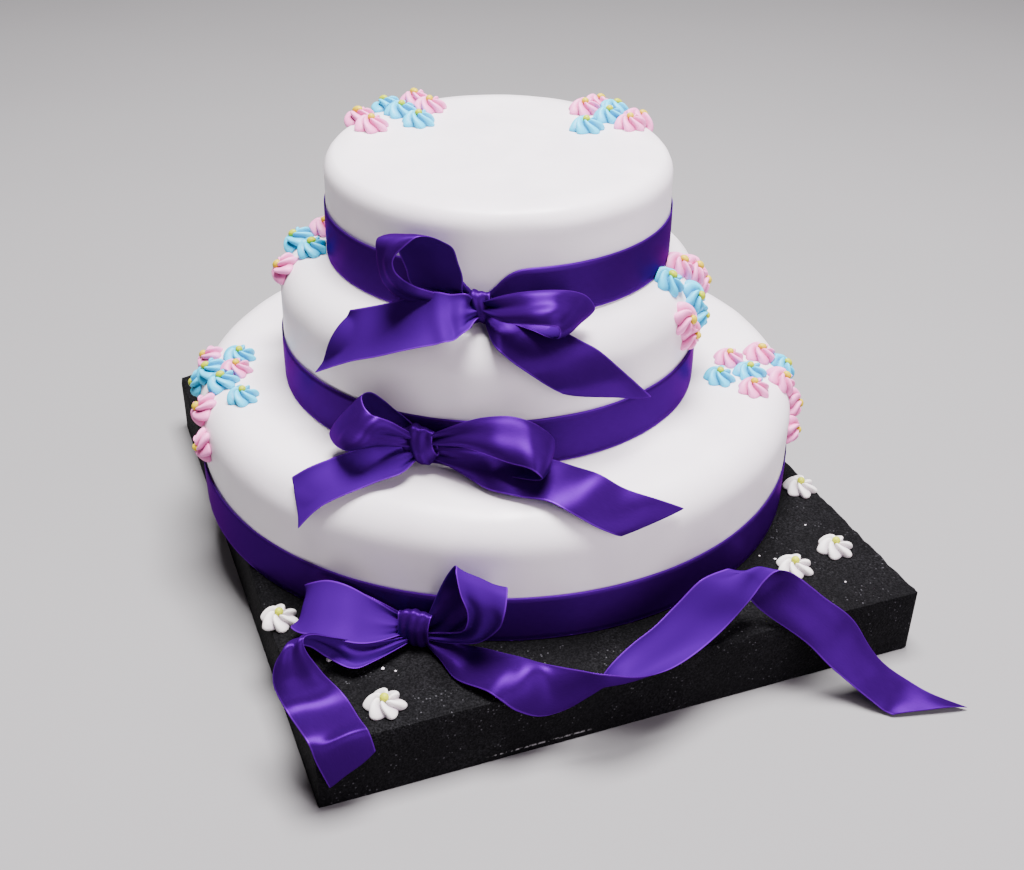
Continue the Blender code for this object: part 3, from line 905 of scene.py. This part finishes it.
@dataclass(frozen=True)
class Run:
    """A loop or tail of ribbon, set out by its two edges and, at folds, its middle."""

    name: str
    stations: tuple[Station, ...]
    pleats: float = 1.3
    gathered_end: float = 1.0
    deepest_pleat: float = 2.4
    loose_pleats: float = 0.45
    arch: float = 4.0
    billow: float = 0.0
    billow_at: float = 14.0
    billow_reach: float = 11.0
    billow_length: float = 12.5
    camber: float = 0.5
    gather_reach: float = 9.0
    pleat_share: float = 0.72
    crease_share: float = 0.34
    arch_share: float = 0.36
    ripple_size: float = 16.0
    ripple_height: float = 0.6
    rows_to_station: int = 7
    columns: int = 24

    def _edge(self, place: Callable[[Spot], Vector], which: float, at: float) -> Vector:
        """A point on one lengthwise line of the ribbon.

        Args:
            place: Turns a station's spot into a point.
            which: 0 for the first edge, 1 for the second, 0.5 for the middle.
            at: Station number, with fractions between stations.

        Returns:
            The point.
        """
        last = len(self.stations) - 1
        start = min(int(at), last - 1)
        share = at - start

        def spot(number: int) -> Vector:
            """Point of a station on this line."""
            station = self.stations[min(max(number, 0), last)]
            first, second = place(station[0]), place(station[-1])
            if which == 0.5:
                return place(station[1]) if len(station) == 3 else (first + second) / 2
            return first if which == 0.0 else second

        before, here, there, after = (spot(start + step) for step in (-1, 0, 1, 2))
        return 0.5 * (
            2 * here + (there - before) * share
            + (2 * before - 5 * here + 4 * there - after) * share ** 2
            + (3 * here - 3 * there + after - before) * share ** 3
        )

    def build(self, bow: "Bow", finishes: list[bpy.types.Material]) -> bpy.types.Object:
        """Models the run as a thin pleated strip.

        Args:
            bow: The bow it belongs to.
            finishes: Face and back of the ribbon.

        Returns:
            The piece.
        """
        last = len(self.stations) - 1
        rows = last * self.rows_to_station
        shape = bmesh.new()
        layer = shape.loops.layers.uv.new("ribbon")
        bmesh.ops.create_grid(shape, x_segments=self.columns, y_segments=rows, size=0.5)
        lines = []
        for row in range(rows + 1):
            at = row / self.rows_to_station
            lines.append([self._edge(bow.place, which, at) for which in (0.0, 0.5, 1.0)])
        run = [0.0]
        for before, after in zip(lines, lines[1:]):
            run.append(run[-1] + (after[1] - before[1]).length)
        total = run[-1]

        def spot(row: int, share: float) -> Vector:
            """Point of the smooth strip at a row and a share of its width."""
            first, middle, second = lines[row]
            return (first * (1 - share) * (1 - 2 * share) + middle * 4 * share * (1 - share)
                    + second * share * (2 * share - 1))

        shape.verts.ensure_lookup_table()
        address = {corner: (round((corner.co.y + 0.5) * rows), min(max(corner.co.x + 0.5, 0.0), 1.0))
                   for corner in shape.verts}
        for face in shape.faces:
            for loop in face.loops:
                row, share = address[loop.vert]
                loop[layer].uv = (share, run[row] / RIBBON_WIDTH)
        for corner, (row, share) in address.items():
            ahead, behind = min(row + 1, rows), max(row - 1, 0)
            lengthwise = spot(ahead, share) - spot(behind, share)
            across = spot(row, min(share + 0.06, 1.0)) - spot(row, max(share - 0.06, 0.0))
            facing = lengthwise.cross(across).normalized()
            width = (lines[row][2] - lines[row][0]).length
            slack = math.sqrt(max(RIBBON_WIDTH / max(width, 4.0) - 1.0, 0.01))
            gather = min(self.pleat_share * width / (math.pi * self.pleats) * slack, self.deepest_pleat)
            phase = 2.0 + 0.7 * math.sin(run[row] / 26.0)
            pleat = math.cos(math.tau * self.pleats * share + phase) * gather
            knotted = math.exp(-run[row] / self.gather_reach)
            knotted += self.gathered_end * math.exp(-(total - run[row]) / self.gather_reach)
            crease = math.cos(math.tau * (2 * self.pleats + 1.4) * share + 0.6)
            pleat += self.crease_share * crease * gather * min(knotted, 1.0)
            pleat *= self.loose_pleats + (1.0 - self.loose_pleats) * min(1.3 * knotted, 1.0)
            arched = self.camber + min(self.arch_share * width * slack, self.arch)
            arched *= 0.5 - 4 * share * (1 - share)
            swing = math.tau * run[row] / self.billow_length + 5.0 * (share - 0.45) ** 2
            wave = self.billow * math.cos(swing)
            wave *= math.exp(-((run[row] - self.billow_at) / self.billow_reach) ** 2)
            ripple = wobble(spot(row, share) + Vector((0, 0, 41)), self.ripple_size, self.ripple_height)
            rise = pleat + wave + (arched + ripple) * min(1.0, 0.35 + width / 30.0)
            corner.co = spot(row, share) + facing * rise
        bmesh.ops.smooth_vert(shape, verts=shape.verts, factor=0.5,
                              use_axis_x=True, use_axis_y=True, use_axis_z=True)
        for corner in shape.verts:
            corner.co = off_the_cake(corner.co, bow.clearance)
        item = as_object(f"bow_{bow.tier.name}_{self.name}", shape, finishes)
        thicken(item, bow.cloth)
        subdivide(item, 1)
        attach(item, "root")
        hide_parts(f"bow_{bow.tier.name}")
        return item


@dataclass(frozen=True)
class Bow:
    """Where a ribbon is tied, with its own left-right, up and outward directions."""

    tier: Tier
    bearing: float
    knot_at: Spot
    knot_half: Spot
    knot_twist: float
    runs: tuple[Run, ...]
    clearance: float = 1.6
    cloth: float = 0.35
    knot_tuck: float = 0.45
    knot_fold: float = 0.75
    knot_crease: float = 0.26
    knot_turns: float = 1.04
    knot_lap: float = 0.35
    knot_rows: int = 64
    knot_columns: int = 50

    @property
    def out(self) -> Vector:
        """Direction straight away from the cake."""
        return Vector((math.cos(math.radians(self.bearing)), math.sin(math.radians(self.bearing)), 0.0))

    @property
    def side(self) -> Vector:
        """Direction to the right, seen from in front of the bow."""
        return Vector((-self.out.y, self.out.x, 0.0))

    def place(self, spot: Spot) -> Vector:
        """Point for (right, up, out) from the band's foot below the knot."""
        foot = Vector((*self.tier.centre, self.tier.foot))
        return foot + self.side * spot[0] + Vector((0, 0, spot[1])) + self.out * (self.tier.radius + spot[2])

    def build_knot(self, finishes: list[bpy.types.Material]) -> bpy.types.Object:
        """Models the gathered wrap that holds the loops.

        Args:
            finishes: Face and back of the ribbon.

        Returns:
            The piece.
        """
        shape = bmesh.new()
        layer = shape.loops.layers.uv.new("ribbon")
        bmesh.ops.create_grid(shape, x_segments=self.knot_columns, y_segments=self.knot_rows, size=0.5)
        address = {corner: (corner.co.x + 0.5, corner.co.y + 0.5) for corner in shape.verts}
        around = math.pi * (self.knot_half[1] + self.knot_half[2])
        for face in shape.faces:
            for loop in face.loops:
                share, turn = address[loop.vert]
                loop[layer].uv = (share, turn * around / RIBBON_WIDTH)
        slant = math.radians(self.knot_twist)
        for corner, (share, turn) in address.items():
            angle = -math.pi / 2 + turn * math.tau * self.knot_turns
            across = 2 * share - 1
            tuck = 1.0 - self.knot_tuck * abs(across) ** 3.2
            ridge = self.knot_fold * math.cos(math.tau * 1.6 * share + 0.9 + 0.9 * math.sin(angle))
            ridge += self.knot_crease * math.cos(math.tau * 3.7 * share + 1.7 + 1.4 * math.cos(angle))
            lap = self.knot_lap * max(0.0, turn - 0.9) / 0.1
            up = (self.knot_half[1] * tuck + ridge + lap) * math.sin(angle)
            out = (self.knot_half[2] * tuck + ridge + lap) * math.cos(angle)
            right = self.knot_half[0] * across * (1.0 - 0.10 * abs(math.cos(angle)))
            slanted_right = right * math.cos(slant) - up * math.sin(slant)
            slanted_up = right * math.sin(slant) + up * math.cos(slant)
            spot = (self.knot_at[0] + slanted_right, self.knot_at[1] + slanted_up, self.knot_at[2] + out)
            corner.co = off_the_cake(self.place(spot), self.clearance)
        bmesh.ops.recalc_face_normals(shape, faces=shape.faces)
        item = as_object(f"bow_{self.tier.name}_knot", shape, finishes)
        middle = item.data.polygons[len(item.data.polygons) // 2]
        heart = self.place(self.knot_at) * MM
        if middle.normal.dot(middle.center - heart) < 0:
            item.data.flip_normals()
        thicken(item, self.cloth)
        subdivide(item, 1)
        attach(item, "root")
        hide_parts(f"bow_{self.tier.name}")
        return item

    def build(self, finishes: list[bpy.types.Material]) -> list[bpy.types.Object]:
        """Models the knot, the loops and the tails.

        Args:
            finishes: Face and back of the ribbon.

        Returns:
            The pieces.
        """
        return [self.build_knot(finishes), *(run.build(self, finishes) for run in self.runs)]


TOP_BOW = Bow(TOP, -115.9, (0, 9, 6), (6.5, 7.5, 4.5), 18.0, (
    Run("left_loop", (
        ((-2, 10, 4), (-4, 8, 4)), ((-5, 13, 5), (-16, 11, 2)), ((-7, 16, 6), (-31, 14, -2)),
        ((-7, 23, 6), (-34, 21, -4)), ((-9, 30, 6), (-36, 26, -4)), ((-11, 37, 6), (-38, 30, -5)),
        ((-16, 41, 8), (-41, 34, -4)), ((-21, 44, 11), (-44, 37, -2)), ((-26, 45, 14), (-46, 38, 1)),
        ((-31, 42, 16), (-47, 36, 4)), ((-35, 38, 17), (-46, 33, 5)), ((-37, 34, 18), (-45, 28, 5)),
        ((-36, 29, 18), (-44, 22, 6)), ((-33, 25, 17), (-42, 17, 6)), ((-29, 21, 14), (-37, 12, 6)),
        ((-22, 17, 11), (-27, 9, 6)), ((-3, 11, 8), (-3, 8, 6)),
    ), rows_to_station=5),
    Run("right_loop", (
        ((2, 12, 7), (2, 8, 8)), ((10, 18, 12), (11, 9, 20)), ((22, 22, 14), (23, 12, 26)),
        ((36, 22, 11), (31, 13, 27)), ((46, 17, 4), (36, 11, 26)), ((51, 10, 0), (37, 7, 25)),
        ((51, 5, -2), (35, 2, 21)), ((44, 4, -2), (29, 1, 17)), ((29, 6, 0), (19, 3, 13)),
        ((12, 9, 3), (10, 5, 9)), ((2, 9, 3), (2, 6, 4)),
    ), loose_pleats=0.6),
    Run("left_tail", (
        ((1, 11, 7), (1, 6, 9)), ((-6, 16, 10), (-5, 5, 24)), ((-15, 17, 10), (-10, 3, 30)),
        ((-23, 15, 7), (-17, 1, 30)), ((-34, 10, 4), (-28, -3, 28)), ((-46, 5, 1), (-43, -10, 23)),
        ((-55, 2, -1), (-58, -18, 15)), ((-60, 0, -3), (-79, -35, -3)),
    ), gathered_end=0.0, billow=1.5),
    Run("right_tail", (
        ((1, 9, 4), (1, 5, 5)), ((18, 6, 5), (7, -1, 20)), ((32, 3, 7), (14, -6, 25)),
        ((44, -2, 10), (24, -13, 26)), ((54, -8, 9), (33, -21, 23)), ((65, -21, 3), (38, -26, 19)),
        ((81, -45, -14), (39, -27, 18)),
    ), gathered_end=0.0),
))
MIDDLE_BOW = Bow(MIDDLE, -126.7, (0, 14, 7), (8.5, 9.5, 5.0), 10.0, (
    Run("left_loop", (
        ((-2, 20, 4), (-3, 14, 4)), ((-10, 27, 3), (-19, 12, 3)), ((-18, 33, 3), (-34, 12, 0)),
        ((-23, 37, 5), (-42, 13, 0)), ((-26, 37, 9), (-45, 12, 6)), ((-24, 35, 14), (-40, 13, 15)),
        ((-20, 33, 17), (-32, 16, 24)), ((-15, 32, 18), (-24, 17, 26)), ((-9, 28, 15), (-15, 15, 16)),
        ((-2, 20, 9), (-3, 14, 9)),
    )),
    Run("right_loop", (
        ((5, 20, 7), (5, 15, 8)), ((21, 30, 8), (21, 20, 13)), ((32, 34, 6), (34, 21, 17)),
        ((43, 35, 4), (45, 20, 19)), ((53, 32, 2), (54, 20, 20)), ((60, 25, -2), (59, 18, 20)),
        ((61, 18, -6), (61, 13, 18)), ((57, 16, -6), (54, 9, 15)), ((41, 20, -1), (37, 6, 9)),
        ((22, 20, 2), (20, 6, 5)), ((4, 17, 3), (4, 12, 3)),
    )),
    Run("left_tail", (
        ((-1, 14, 7), (0, 8, 9)), ((-10, 16, 9), (-4, 6, 22)), ((-26, 9, 9), (-15, 3, 30)),
        ((-36, 7, 17), (-26, -1, 37)), ((-46, 4, 24), (-36, -7, 41)), ((-55, -1, 28), (-46, -18, 44)),
    ), gathered_end=0.0),
    Run("right_tail", (
        ((2, 11, 4), (3, 7, 5)), ((23, 14, 4), (20, 4, 10)), ((40, 14, 0), (35, 4, 18)),
        ((55, 11, -4), (50, 4, 20)), ((68, 8, -6), (63, 5, 21)), ((82, 9, -1), (75, 2, 23)),
        ((95, 4, 0), (86, -4, 22)), ((110, -1, -3), (94, -9, 19)), ((122, -8, -9), (97, -11, 17)),
    ), gathered_end=0.0),
))
BOTTOM_BOW = Bow(BOTTOM, -124.3, (3, 10, 7), (8.0, 9.5, 5.0), 0.0, (
    Run("left_loop", (
        ((-1, 12, 5), (0, 7, 7)), ((-16, 21, 6), (-13, 11, 24)), ((-27, 28, 7), (-24, 15, 30)),
        ((-37, 29, 6), (-36, 15, 29)), ((-45, 25, 4), (-45, 12, 26)), ((-51, 19, 0), (-51, 9, 20)),
        ((-50, 18, -2), (-50, 6, 13)), ((-37, 22, 0), (-37, 4, 9)), ((-18, 19, 3), (-18, 4, 7)),
        ((-1, 11, 3), (0, 6, 3)),
    )),
    Run("right_loop", (
        ((6, 11, 4), (7, 5, 7)), ((9, 19, 5), (20, 9, 5)), ((12, 28, 5), (32, 19, 3)),
        ((17, 41, 7), (40, 30, 4)), ((23, 53, 12), (45, 41, 8)), ((25, 53, 18), (47, 42, 14)),
        ((28, 46, 22), (47, 35, 19)), ((31, 36, 21), (44, 26, 18)), ((28, 21, 15), (34, 13, 14)),
        ((18, 13, 10), (19, 8, 12)), ((6, 9, 8), (7, 6, 9)),
    ), loose_pleats=0.9),
    Run("left_tail", (
        ((0, 7, 10), (1, 5, 12)), ((-11, 9, 19), (-10, 5, 28)), ((-19, 13, 25), (-18, 5, 35)),
        ((-26, 21, 34), (-30, 8, 32)), ((-31, 29, 43), (-36, 19, 39)), ((-33, 32, 50), (-40, 27, 51)),
        ((-31, 26, 52), (-43, 24, 58)), ((-25, 14, 50), (-43, 15, 63)), ((-15, 6, 52), (-36, 6, 68)),
        ((-5, 4, 62), (-22, 4, 81)), ((1, 4, 68), (-9, 3, 77), (-18, -5, 83)),
        ((4, -7, 69), (-5, -14, 75), (-14, -23, 80)),
    ), gathered_end=0.0, loose_pleats=0.7),
    Run("right_tail", (
        ((5, 6, 5), (6, 4, 8)), ((21, 5, 6), (17, 3, 17)), ((33, 4, 5), (28, 3, 28)),
        ((44, 6, 9), (44, 8, 22), (42, 5, 34)), ((52, 8, 12), (52, 9, 24), (50, 2, 36)),
        ((60, 9, 14), (60, 8, 25), (57, -5, 34)), ((74, 12, 19), (67, -12, 27)),
        ((86, 14, 22), (79, -10, 19)), ((95, 13, 22), (87, -4, 13)), ((107, 8, 15), (92, 6, 8)),
        ((117, 4, 3), (100, 12, -3)), ((127, 4, -11), (109, 17, -13)), ((137, 7, -25), (117, 23, -24)),
        ((145, 13, -36), (138, 24, -34), (126, 31, -33)), ((151, 21, -44), (145, 29, -42), (135, 30, -41)),
        ((154, 25, -47), (147, 31, -45), (138, 29, -44)), ((158, 28, -50), (150, 31, -50), (141, 25, -48)),
        ((162, 28, -51), (154, 26, -53), (144, 19, -49)), ((168, 26, -53), (160, 20, -53), (150, 11, -47)),
        ((175, 21, -54), (158, 6, -45)), ((184, 13, -56), (169, 1, -43)),
        ((193, 6, -58), (179, -6, -43)), ((200, -2, -60), (189, -15, -42)),
        ((213, -20, -60), (200, -23, -41)), ((226, -27, -57), (211, -29, -38)),
        ((240, -31, -53), (216, -32, -37)), ((257, -33, -50), (221, -33, -36)),
    ), gathered_end=0.0, rows_to_station=5),
), knot_tuck=0.16, knot_fold=0.30)
BOWS = (TOP_BOW, MIDDLE_BOW, BOTTOM_BOW)


@dataclass(frozen=True)
class Flower:
    """A swirled drop flower with a round centre."""

    node: str
    tint: Tint
    radius: float
    turn: float
    petals: int = 6
    height: float = 7.0
    twist: float = 1.35
    sunk: float = 0.35
    centre_radius: float = 1.9
    centre_lift: float = 1.4
    centre_squash: float = 0.95
    crown: float = 0.64
    valley_reach: float = 0.71
    petal_reach: float = 0.31
    groove_depth: float = 0.56
    upper_part: float = 0.78
    uneven: float = 0.07
    half_gap: float = 0.12

    def _form(self, angle: float, share: float) -> tuple[float, float, float]:
        """Shape of the petals.

        Args:
            angle: Direction from the middle, in radians.
            share: 0 at the crown, 1 at the rim.

        Returns:
            Reach, height, and depth of the valley there from 0 to 1.
        """
        swirled = angle + self.turn + self.twist * (1.0 - share)
        phase = (swirled * self.petals / math.tau) % 1.0
        crest = math.sin(math.pi * phase ** 0.62) ** 0.62 if phase > 0 else 0.0
        tip = math.sin(math.pi * phase ** 0.72) ** 1.25 if phase > 0 else 0.0
        valley = (1.0 - crest) * min(1.0, share * 4.0)
        rim = self.radius * (self.valley_reach + self.petal_reach * tip)
        reach = rim * share ** 0.92
        crown = self.crown + (1.0 - self.crown) * math.sin(min(share / 0.40, 1.0) * math.pi / 2) ** 2
        dome = max(1.0 - share ** 2.2, 0.0) ** 0.68
        groove = self.groove_depth * valley * math.sin(math.pi * min(share * 0.75 + 0.20, 1.0)) ** 0.6
        return reach, self.height * crown * dome * (1.0 - groove), valley

    def build(self, over: PointMap, centre: Vector, beside: list[Vector], guard: Callable[[Vector], Vector],
              finish: bpy.types.Material) -> bpy.types.Object:
        """Models the petals.

        Args:
            over: Turns (across, along, height) on the icing into a point.
            centre: Middle of the flower.
            beside: Middles of the flowers next to it.
            guard: Keeps a point off what the flower may touch.
            finish: Its icing.

        Returns:
            The piece.
        """
        shape = bmesh.new()
        bmesh.ops.create_uvsphere(shape, u_segments=96, v_segments=34, radius=1.0)
        # Valley depth per corner, which the petal finish uses to paint shade between the petals.
        layer = shape.verts.layers.float.new("valley")
        for corner in shape.verts:
            polar = math.acos(min(max(corner.co.z, -1.0), 1.0)) / math.pi
            angle = math.atan2(corner.co.y, corner.co.x)
            reach, height, valley = self._form(angle, min(polar / self.upper_part, 1.0))
            if polar > self.upper_part:
                reach *= 1.0 - (polar - self.upper_part) / (1.0 - self.upper_part)
                height = 0.0
            corner[layer] = valley
            spot = Vector((math.cos(angle) * 1.3, math.sin(angle) * 1.3, self.turn))
            swell = 1.0 + self.uneven * noise.noise(spot)
            reach *= swell
            corner.co = over(math.cos(angle) * reach, math.sin(angle) * reach, height * swell - self.sunk)
        for other in beside:
            towards = other - centre
            limit = towards.length / 2 - self.half_gap
            towards.normalize()
            for corner in shape.verts:
                excess = (corner.co - centre).dot(towards) - limit
                if excess > 0:
                    corner.co -= towards * excess
        for corner in shape.verts:
            corner.co = guard(corner.co)
        bmesh.ops.recalc_face_normals(shape, faces=shape.faces)
        item = as_object(f"piped_{self.node}", shape, [finish])
        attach(item, "root")
        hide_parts(self.node)
        self.tint.slot
        return item

    def add_centre(self, shape: bmesh.types.BMesh, over: PointMap) -> None:
        """Adds the round centre to a spray's mesh of centres."""
        made = bmesh.ops.create_uvsphere(shape, u_segments=20, v_segments=12, radius=self.centre_radius)
        middle = self.height * self.crown - self.sunk + self.centre_lift
        for corner in made["verts"]:
            spot = corner.co.copy()
            corner.co = over(spot.x, spot.y, middle + spot.z * self.centre_squash)


@dataclass(frozen=True)
class Spray:
    """A cluster of flowers piped over a tier's rounded edge."""

    name: str
    tier: Tier
    flowers: tuple[tuple[Tint, float, float], ...]
    radius: float = 9.0
    height: float = 7.0
    varied: float = 0.05
    gap_above: float = 1.1

    def build(self, petals: Finishes, balls: Finishes) -> list[bpy.types.Object]:
        """Models the flowers and their centres.

        Args:
            petals: Petal finish of each colour.
            balls: Centre finish of each colour.

        Returns:
            The pieces.
        """
        middles = [self.tier.skin(math.radians(bearing), along, self.height / 2)
                   for _, bearing, along in self.flowers]
        above = TIERS[TIERS.index(self.tier) + 1] if self.tier is not TOP else None

        def guard(point: Vector) -> Vector:
            """Keeps petals off the tier above."""
            return above.clear(point, self.gap_above) if above else point

        pieces = []
        centres = {tint: bmesh.new() for tint in Tint}
        for number, (tint, degrees, along) in enumerate(self.flowers):
            bearing = math.radians(degrees)
            reach = self.tier.profile(along)[0]

            def over(across: float, forward: float, lift: float, bearing: float = bearing,
                     along: float = along, reach: float = reach) -> Vector:
                """Point over the icing round this flower."""
                return self.tier.skin(bearing + across / reach, along - forward, lift)

            size = self.radius * (1.0 + self.varied * math.sin(number * 2.3 + bearing))
            flower = Flower(f"flower_{self.name}_{number + 1}", tint, size, number * 1.9 + bearing + 0.8,
                            height=self.height)
            beside = [middle for other, middle in enumerate(middles)
                      if other != number and (middle - middles[number]).length < 3 * self.radius]
            pieces.append(flower.build(over, middles[number], beside, guard, petals[tint]))
            flower.add_centre(centres[tint], over)
        for tint, shape in centres.items():
            if shape.verts:
                pieces.append(finish_centres(f"centres_{self.name}_{tint.name.lower()}", shape, balls[tint]))
            else:
                shape.free()
        return pieces


@dataclass(frozen=True)
class LooseFlowers:
    """White flowers that lie on the board."""

    spots: tuple[tuple[float, float], ...]
    radius: float = 9.6
    gap_beside: float = 1.4

    def _guard(self, point: Vector) -> Vector:
        """Keeps petals off the tier beside them."""
        return BOTTOM.clear(point, self.gap_beside)

    def build(self, petals: bpy.types.Material, ball: bpy.types.Material) -> list[bpy.types.Object]:
        """Models the flowers.

        Args:
            petals: Their icing.
            ball: The icing of their centres.

        Returns:
            The pieces.
        """
        pieces = []
        centres = bmesh.new()
        for number, (across, along) in enumerate(self.spots):

            def over(right: float, back: float, lift: float, across: float = across,
                     along: float = along) -> Vector:
                """Point over the board round this flower."""
                return Vector((across + right, along + back, BOARD.thickness + lift))

            flower = Flower(f"board_flower_{number + 1}", Tint.WHITE, self.radius, number * 1.3, height=6.4,
                            twist=1.05, sunk=-0.05, centre_radius=2.1)
            middle = over(0.0, 0.0, 3.0)
            pieces.append(flower.build(over, middle, [], self._guard, petals))
            flower.add_centre(centres, over)
        pieces.append(finish_centres("centres_board", centres, ball))
        return pieces


def finish_centres(name: str, shape: bmesh.types.BMesh, finish: bpy.types.Material) -> bpy.types.Object:
    """Makes a piece of a spray's round centres.

    Args:
        name: Name of the piece.
        shape: The bmesh, which is freed.
        finish: Their icing.

    Returns:
        The piece.
    """
    item = as_object(name, shape, [finish])
    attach(item, "root")
    return item


P, B = Tint.PINK, Tint.BLUE
SPRAYS = (
    Spray("top_left", TOP, (
        (P, 140, -8), (P, 133, 3), (B, 116, 5), (B, 118, -9), (P, 104, 2), (P, 104, -12), (B, 123, -25),
    )),
    Spray("top_right", TOP, (
        (P, 28, -8), (P, 29, 5), (B, 14, -7), (B, 21, 5), (B, 7, -26), (P, 2, -4), (P, 9, 7),
    )),
    Spray("middle_left", MIDDLE, ((P, 150, 0), (B, 167, 3), (B, 155, 13), (P, 168, 20), (P, 149, 41))),
    Spray("middle_right", MIDDLE, (
        (P, -34, 11), (P, -29, 19), (P, -25, 29), (B, -46, 10), (B, -40, 25), (B, -29, 44), (P, -49, 29),
        (P, -45, 40),
    )),
    Spray("bottom_left", BOTTOM, (
        (P, 159, 16), (B, 166, 12), (B, 163, -3), (P, 169, -2), (B, 173, 5), (B, 162, 27), (B, -179, -2),
        (P, 177, 19), (P, -178, 32),
    )),
    Spray("bottom_right", BOTTOM, (
        (P, -24, -14), (P, -21, 3), (B, -34, -19), (B, -30, -4), (B, -22, 16), (P, -37, -1), (P, -29, 13),
        (P, -28, 29), (P, -31, 40),
    )),
)
BOARD_FLOWERS = LooseFlowers(((143, -88), (103, -148), (131, -141), (-115, -171), (-144.5, -99)))
CRUMBS = [
    (-130, -134, 2.6), (-127, -131, 1.4), (-109, -148, 1.9), (-104, -151, 1.2), (98, -138, 1.6),
    (92, -133, 1.1), (80, -181, 2.2), (84, -178, 1.3), (74, -176, 1.0), (-60, -176, 1.2),
    (20, -178, 1.0), (128, -118, 1.2), (121, -166, 1.1), (-30, -181, 0.9), (-142, -150, 1.1),
]


@dataclass(frozen=True)
class Lamp:
    """A square soft lamp, in metres and watts."""

    name: str
    place: Spot
    size: float
    power: float
    colour: Colour


@dataclass(frozen=True)
class Studio:
    """Camera, lights and floor."""

    camera_at: Spot = (-0.2230, -0.5876, 0.4412)
    looking: Spot = (0.3126, 0.7883, -0.5299)
    roll: float = 0.0154
    lens: float = 47.017
    sensor: float = 36.0
    aim: Spot = (0.0, -0.02, 0.10)
    room_colour: tuple[float, float, float, float] = (1.0, 0.88, 1.0, 1.0)
    room_strength: float = 0.10
    floor_half: float = 6000.0
    floor_level: float = -0.3
    lamps: tuple[Lamp, ...] = (
        Lamp("overhead", (0.10, -0.02, 1.62), 0.75, 122.0, (1.0, 0.955, 0.98)),
        Lamp("front", (0.62, -1.70, 0.72), 1.50, 30.0, (1.0, 0.86, 1.0)),
    )

    def place_camera(self) -> bpy.types.Object:
        """Puts the camera where the photograph was taken from."""
        ahead = Vector(self.looking).normalized()
        right = ahead.cross(Vector((0, 0, 1))).normalized()
        up = right.cross(ahead)
        turned = right * math.cos(self.roll) + up * math.sin(self.roll)
        upright = up * math.cos(self.roll) - right * math.sin(self.roll)
        lens = bpy.data.cameras.new("camera")
        lens.lens = self.lens
        lens.sensor_width = self.sensor
        lens.sensor_fit = "HORIZONTAL"
        lens.clip_start = 0.01
        camera = bpy.data.objects.new("camera", lens)
        facing = Matrix((turned, upright, -ahead)).transposed().to_4x4()
        camera.matrix_world = Matrix.Translation(self.camera_at) @ facing
        bpy.context.scene.collection.objects.link(camera)
        bpy.context.scene.camera = camera
        return camera

    def light(self) -> None:
        """Hangs the soft lamps and sets the room's own light."""
        for lamp in self.lamps:
            light = bpy.data.lights.new(lamp.name, "AREA")
            light.shape = "SQUARE"
            light.size = lamp.size
            light.energy = lamp.power
            light.color = lamp.colour
            item = bpy.data.objects.new(lamp.name, light)
            item.location = lamp.place
            towards = Vector(self.aim) - Vector(lamp.place)
            item.rotation_euler = towards.to_track_quat("-Z", "Y").to_euler()
            bpy.context.scene.collection.objects.link(item)
        world = bpy.data.worlds.new("room")
        world.use_nodes = True
        room = world.node_tree.nodes["Background"].inputs
        room["Color"].default_value = self.room_colour
        room["Strength"].default_value = self.room_strength
        bpy.context.scene.world = world

    def lay_floor(self) -> bpy.types.Object:
        """Lays the plain floor."""
        shape = bmesh.new()
        bmesh.ops.create_grid(shape, x_segments=4, y_segments=4, size=self.floor_half)
        bmesh.ops.translate(shape, vec=(0, 0, self.floor_level), verts=shape.verts)
        floor = as_object("pale_floor", shape, [StudioFloor().make()], smooth=False)
        return floor


def main() -> None:
    """Builds every piece of the cake in order and reports it."""
    logging.basicConfig(level=logging.INFO, format="%(name)s: %(message)s")
    studio = Studio()
    studio.place_camera()
    studio.light()
    studio.lay_floor()
    paste = SugarPaste().make("white_sugar_paste")
    satin = Satin()
    ribbon = [satin.face(), satin.reverse()]
    petals = {tint: PipedIcing(tint).petals() for tint in Tint}
    balls = {tint: PipedIcing(tint).ball() for tint in Tint}
    pieces = [BOARD.build(BlackFoam().make())]
    pieces += [tier.build(paste) for tier in TIERS]
    pieces += [band.build(ribbon) for band in BANDS]
    for bow in BOWS:
        pieces += bow.build(ribbon)
    for spray in SPRAYS:
        pieces += spray.build(petals, balls)
    pieces += BOARD_FLOWERS.build(petals[Tint.WHITE], balls[Tint.WHITE])
    pieces.append(BOARD.scatter_crumbs(CRUMBS, paste))
    for piece in pieces:
        LOG.info("%s: %d faces", piece.name, len(piece.data.polygons))


if __name__ == "__main__":
    main()
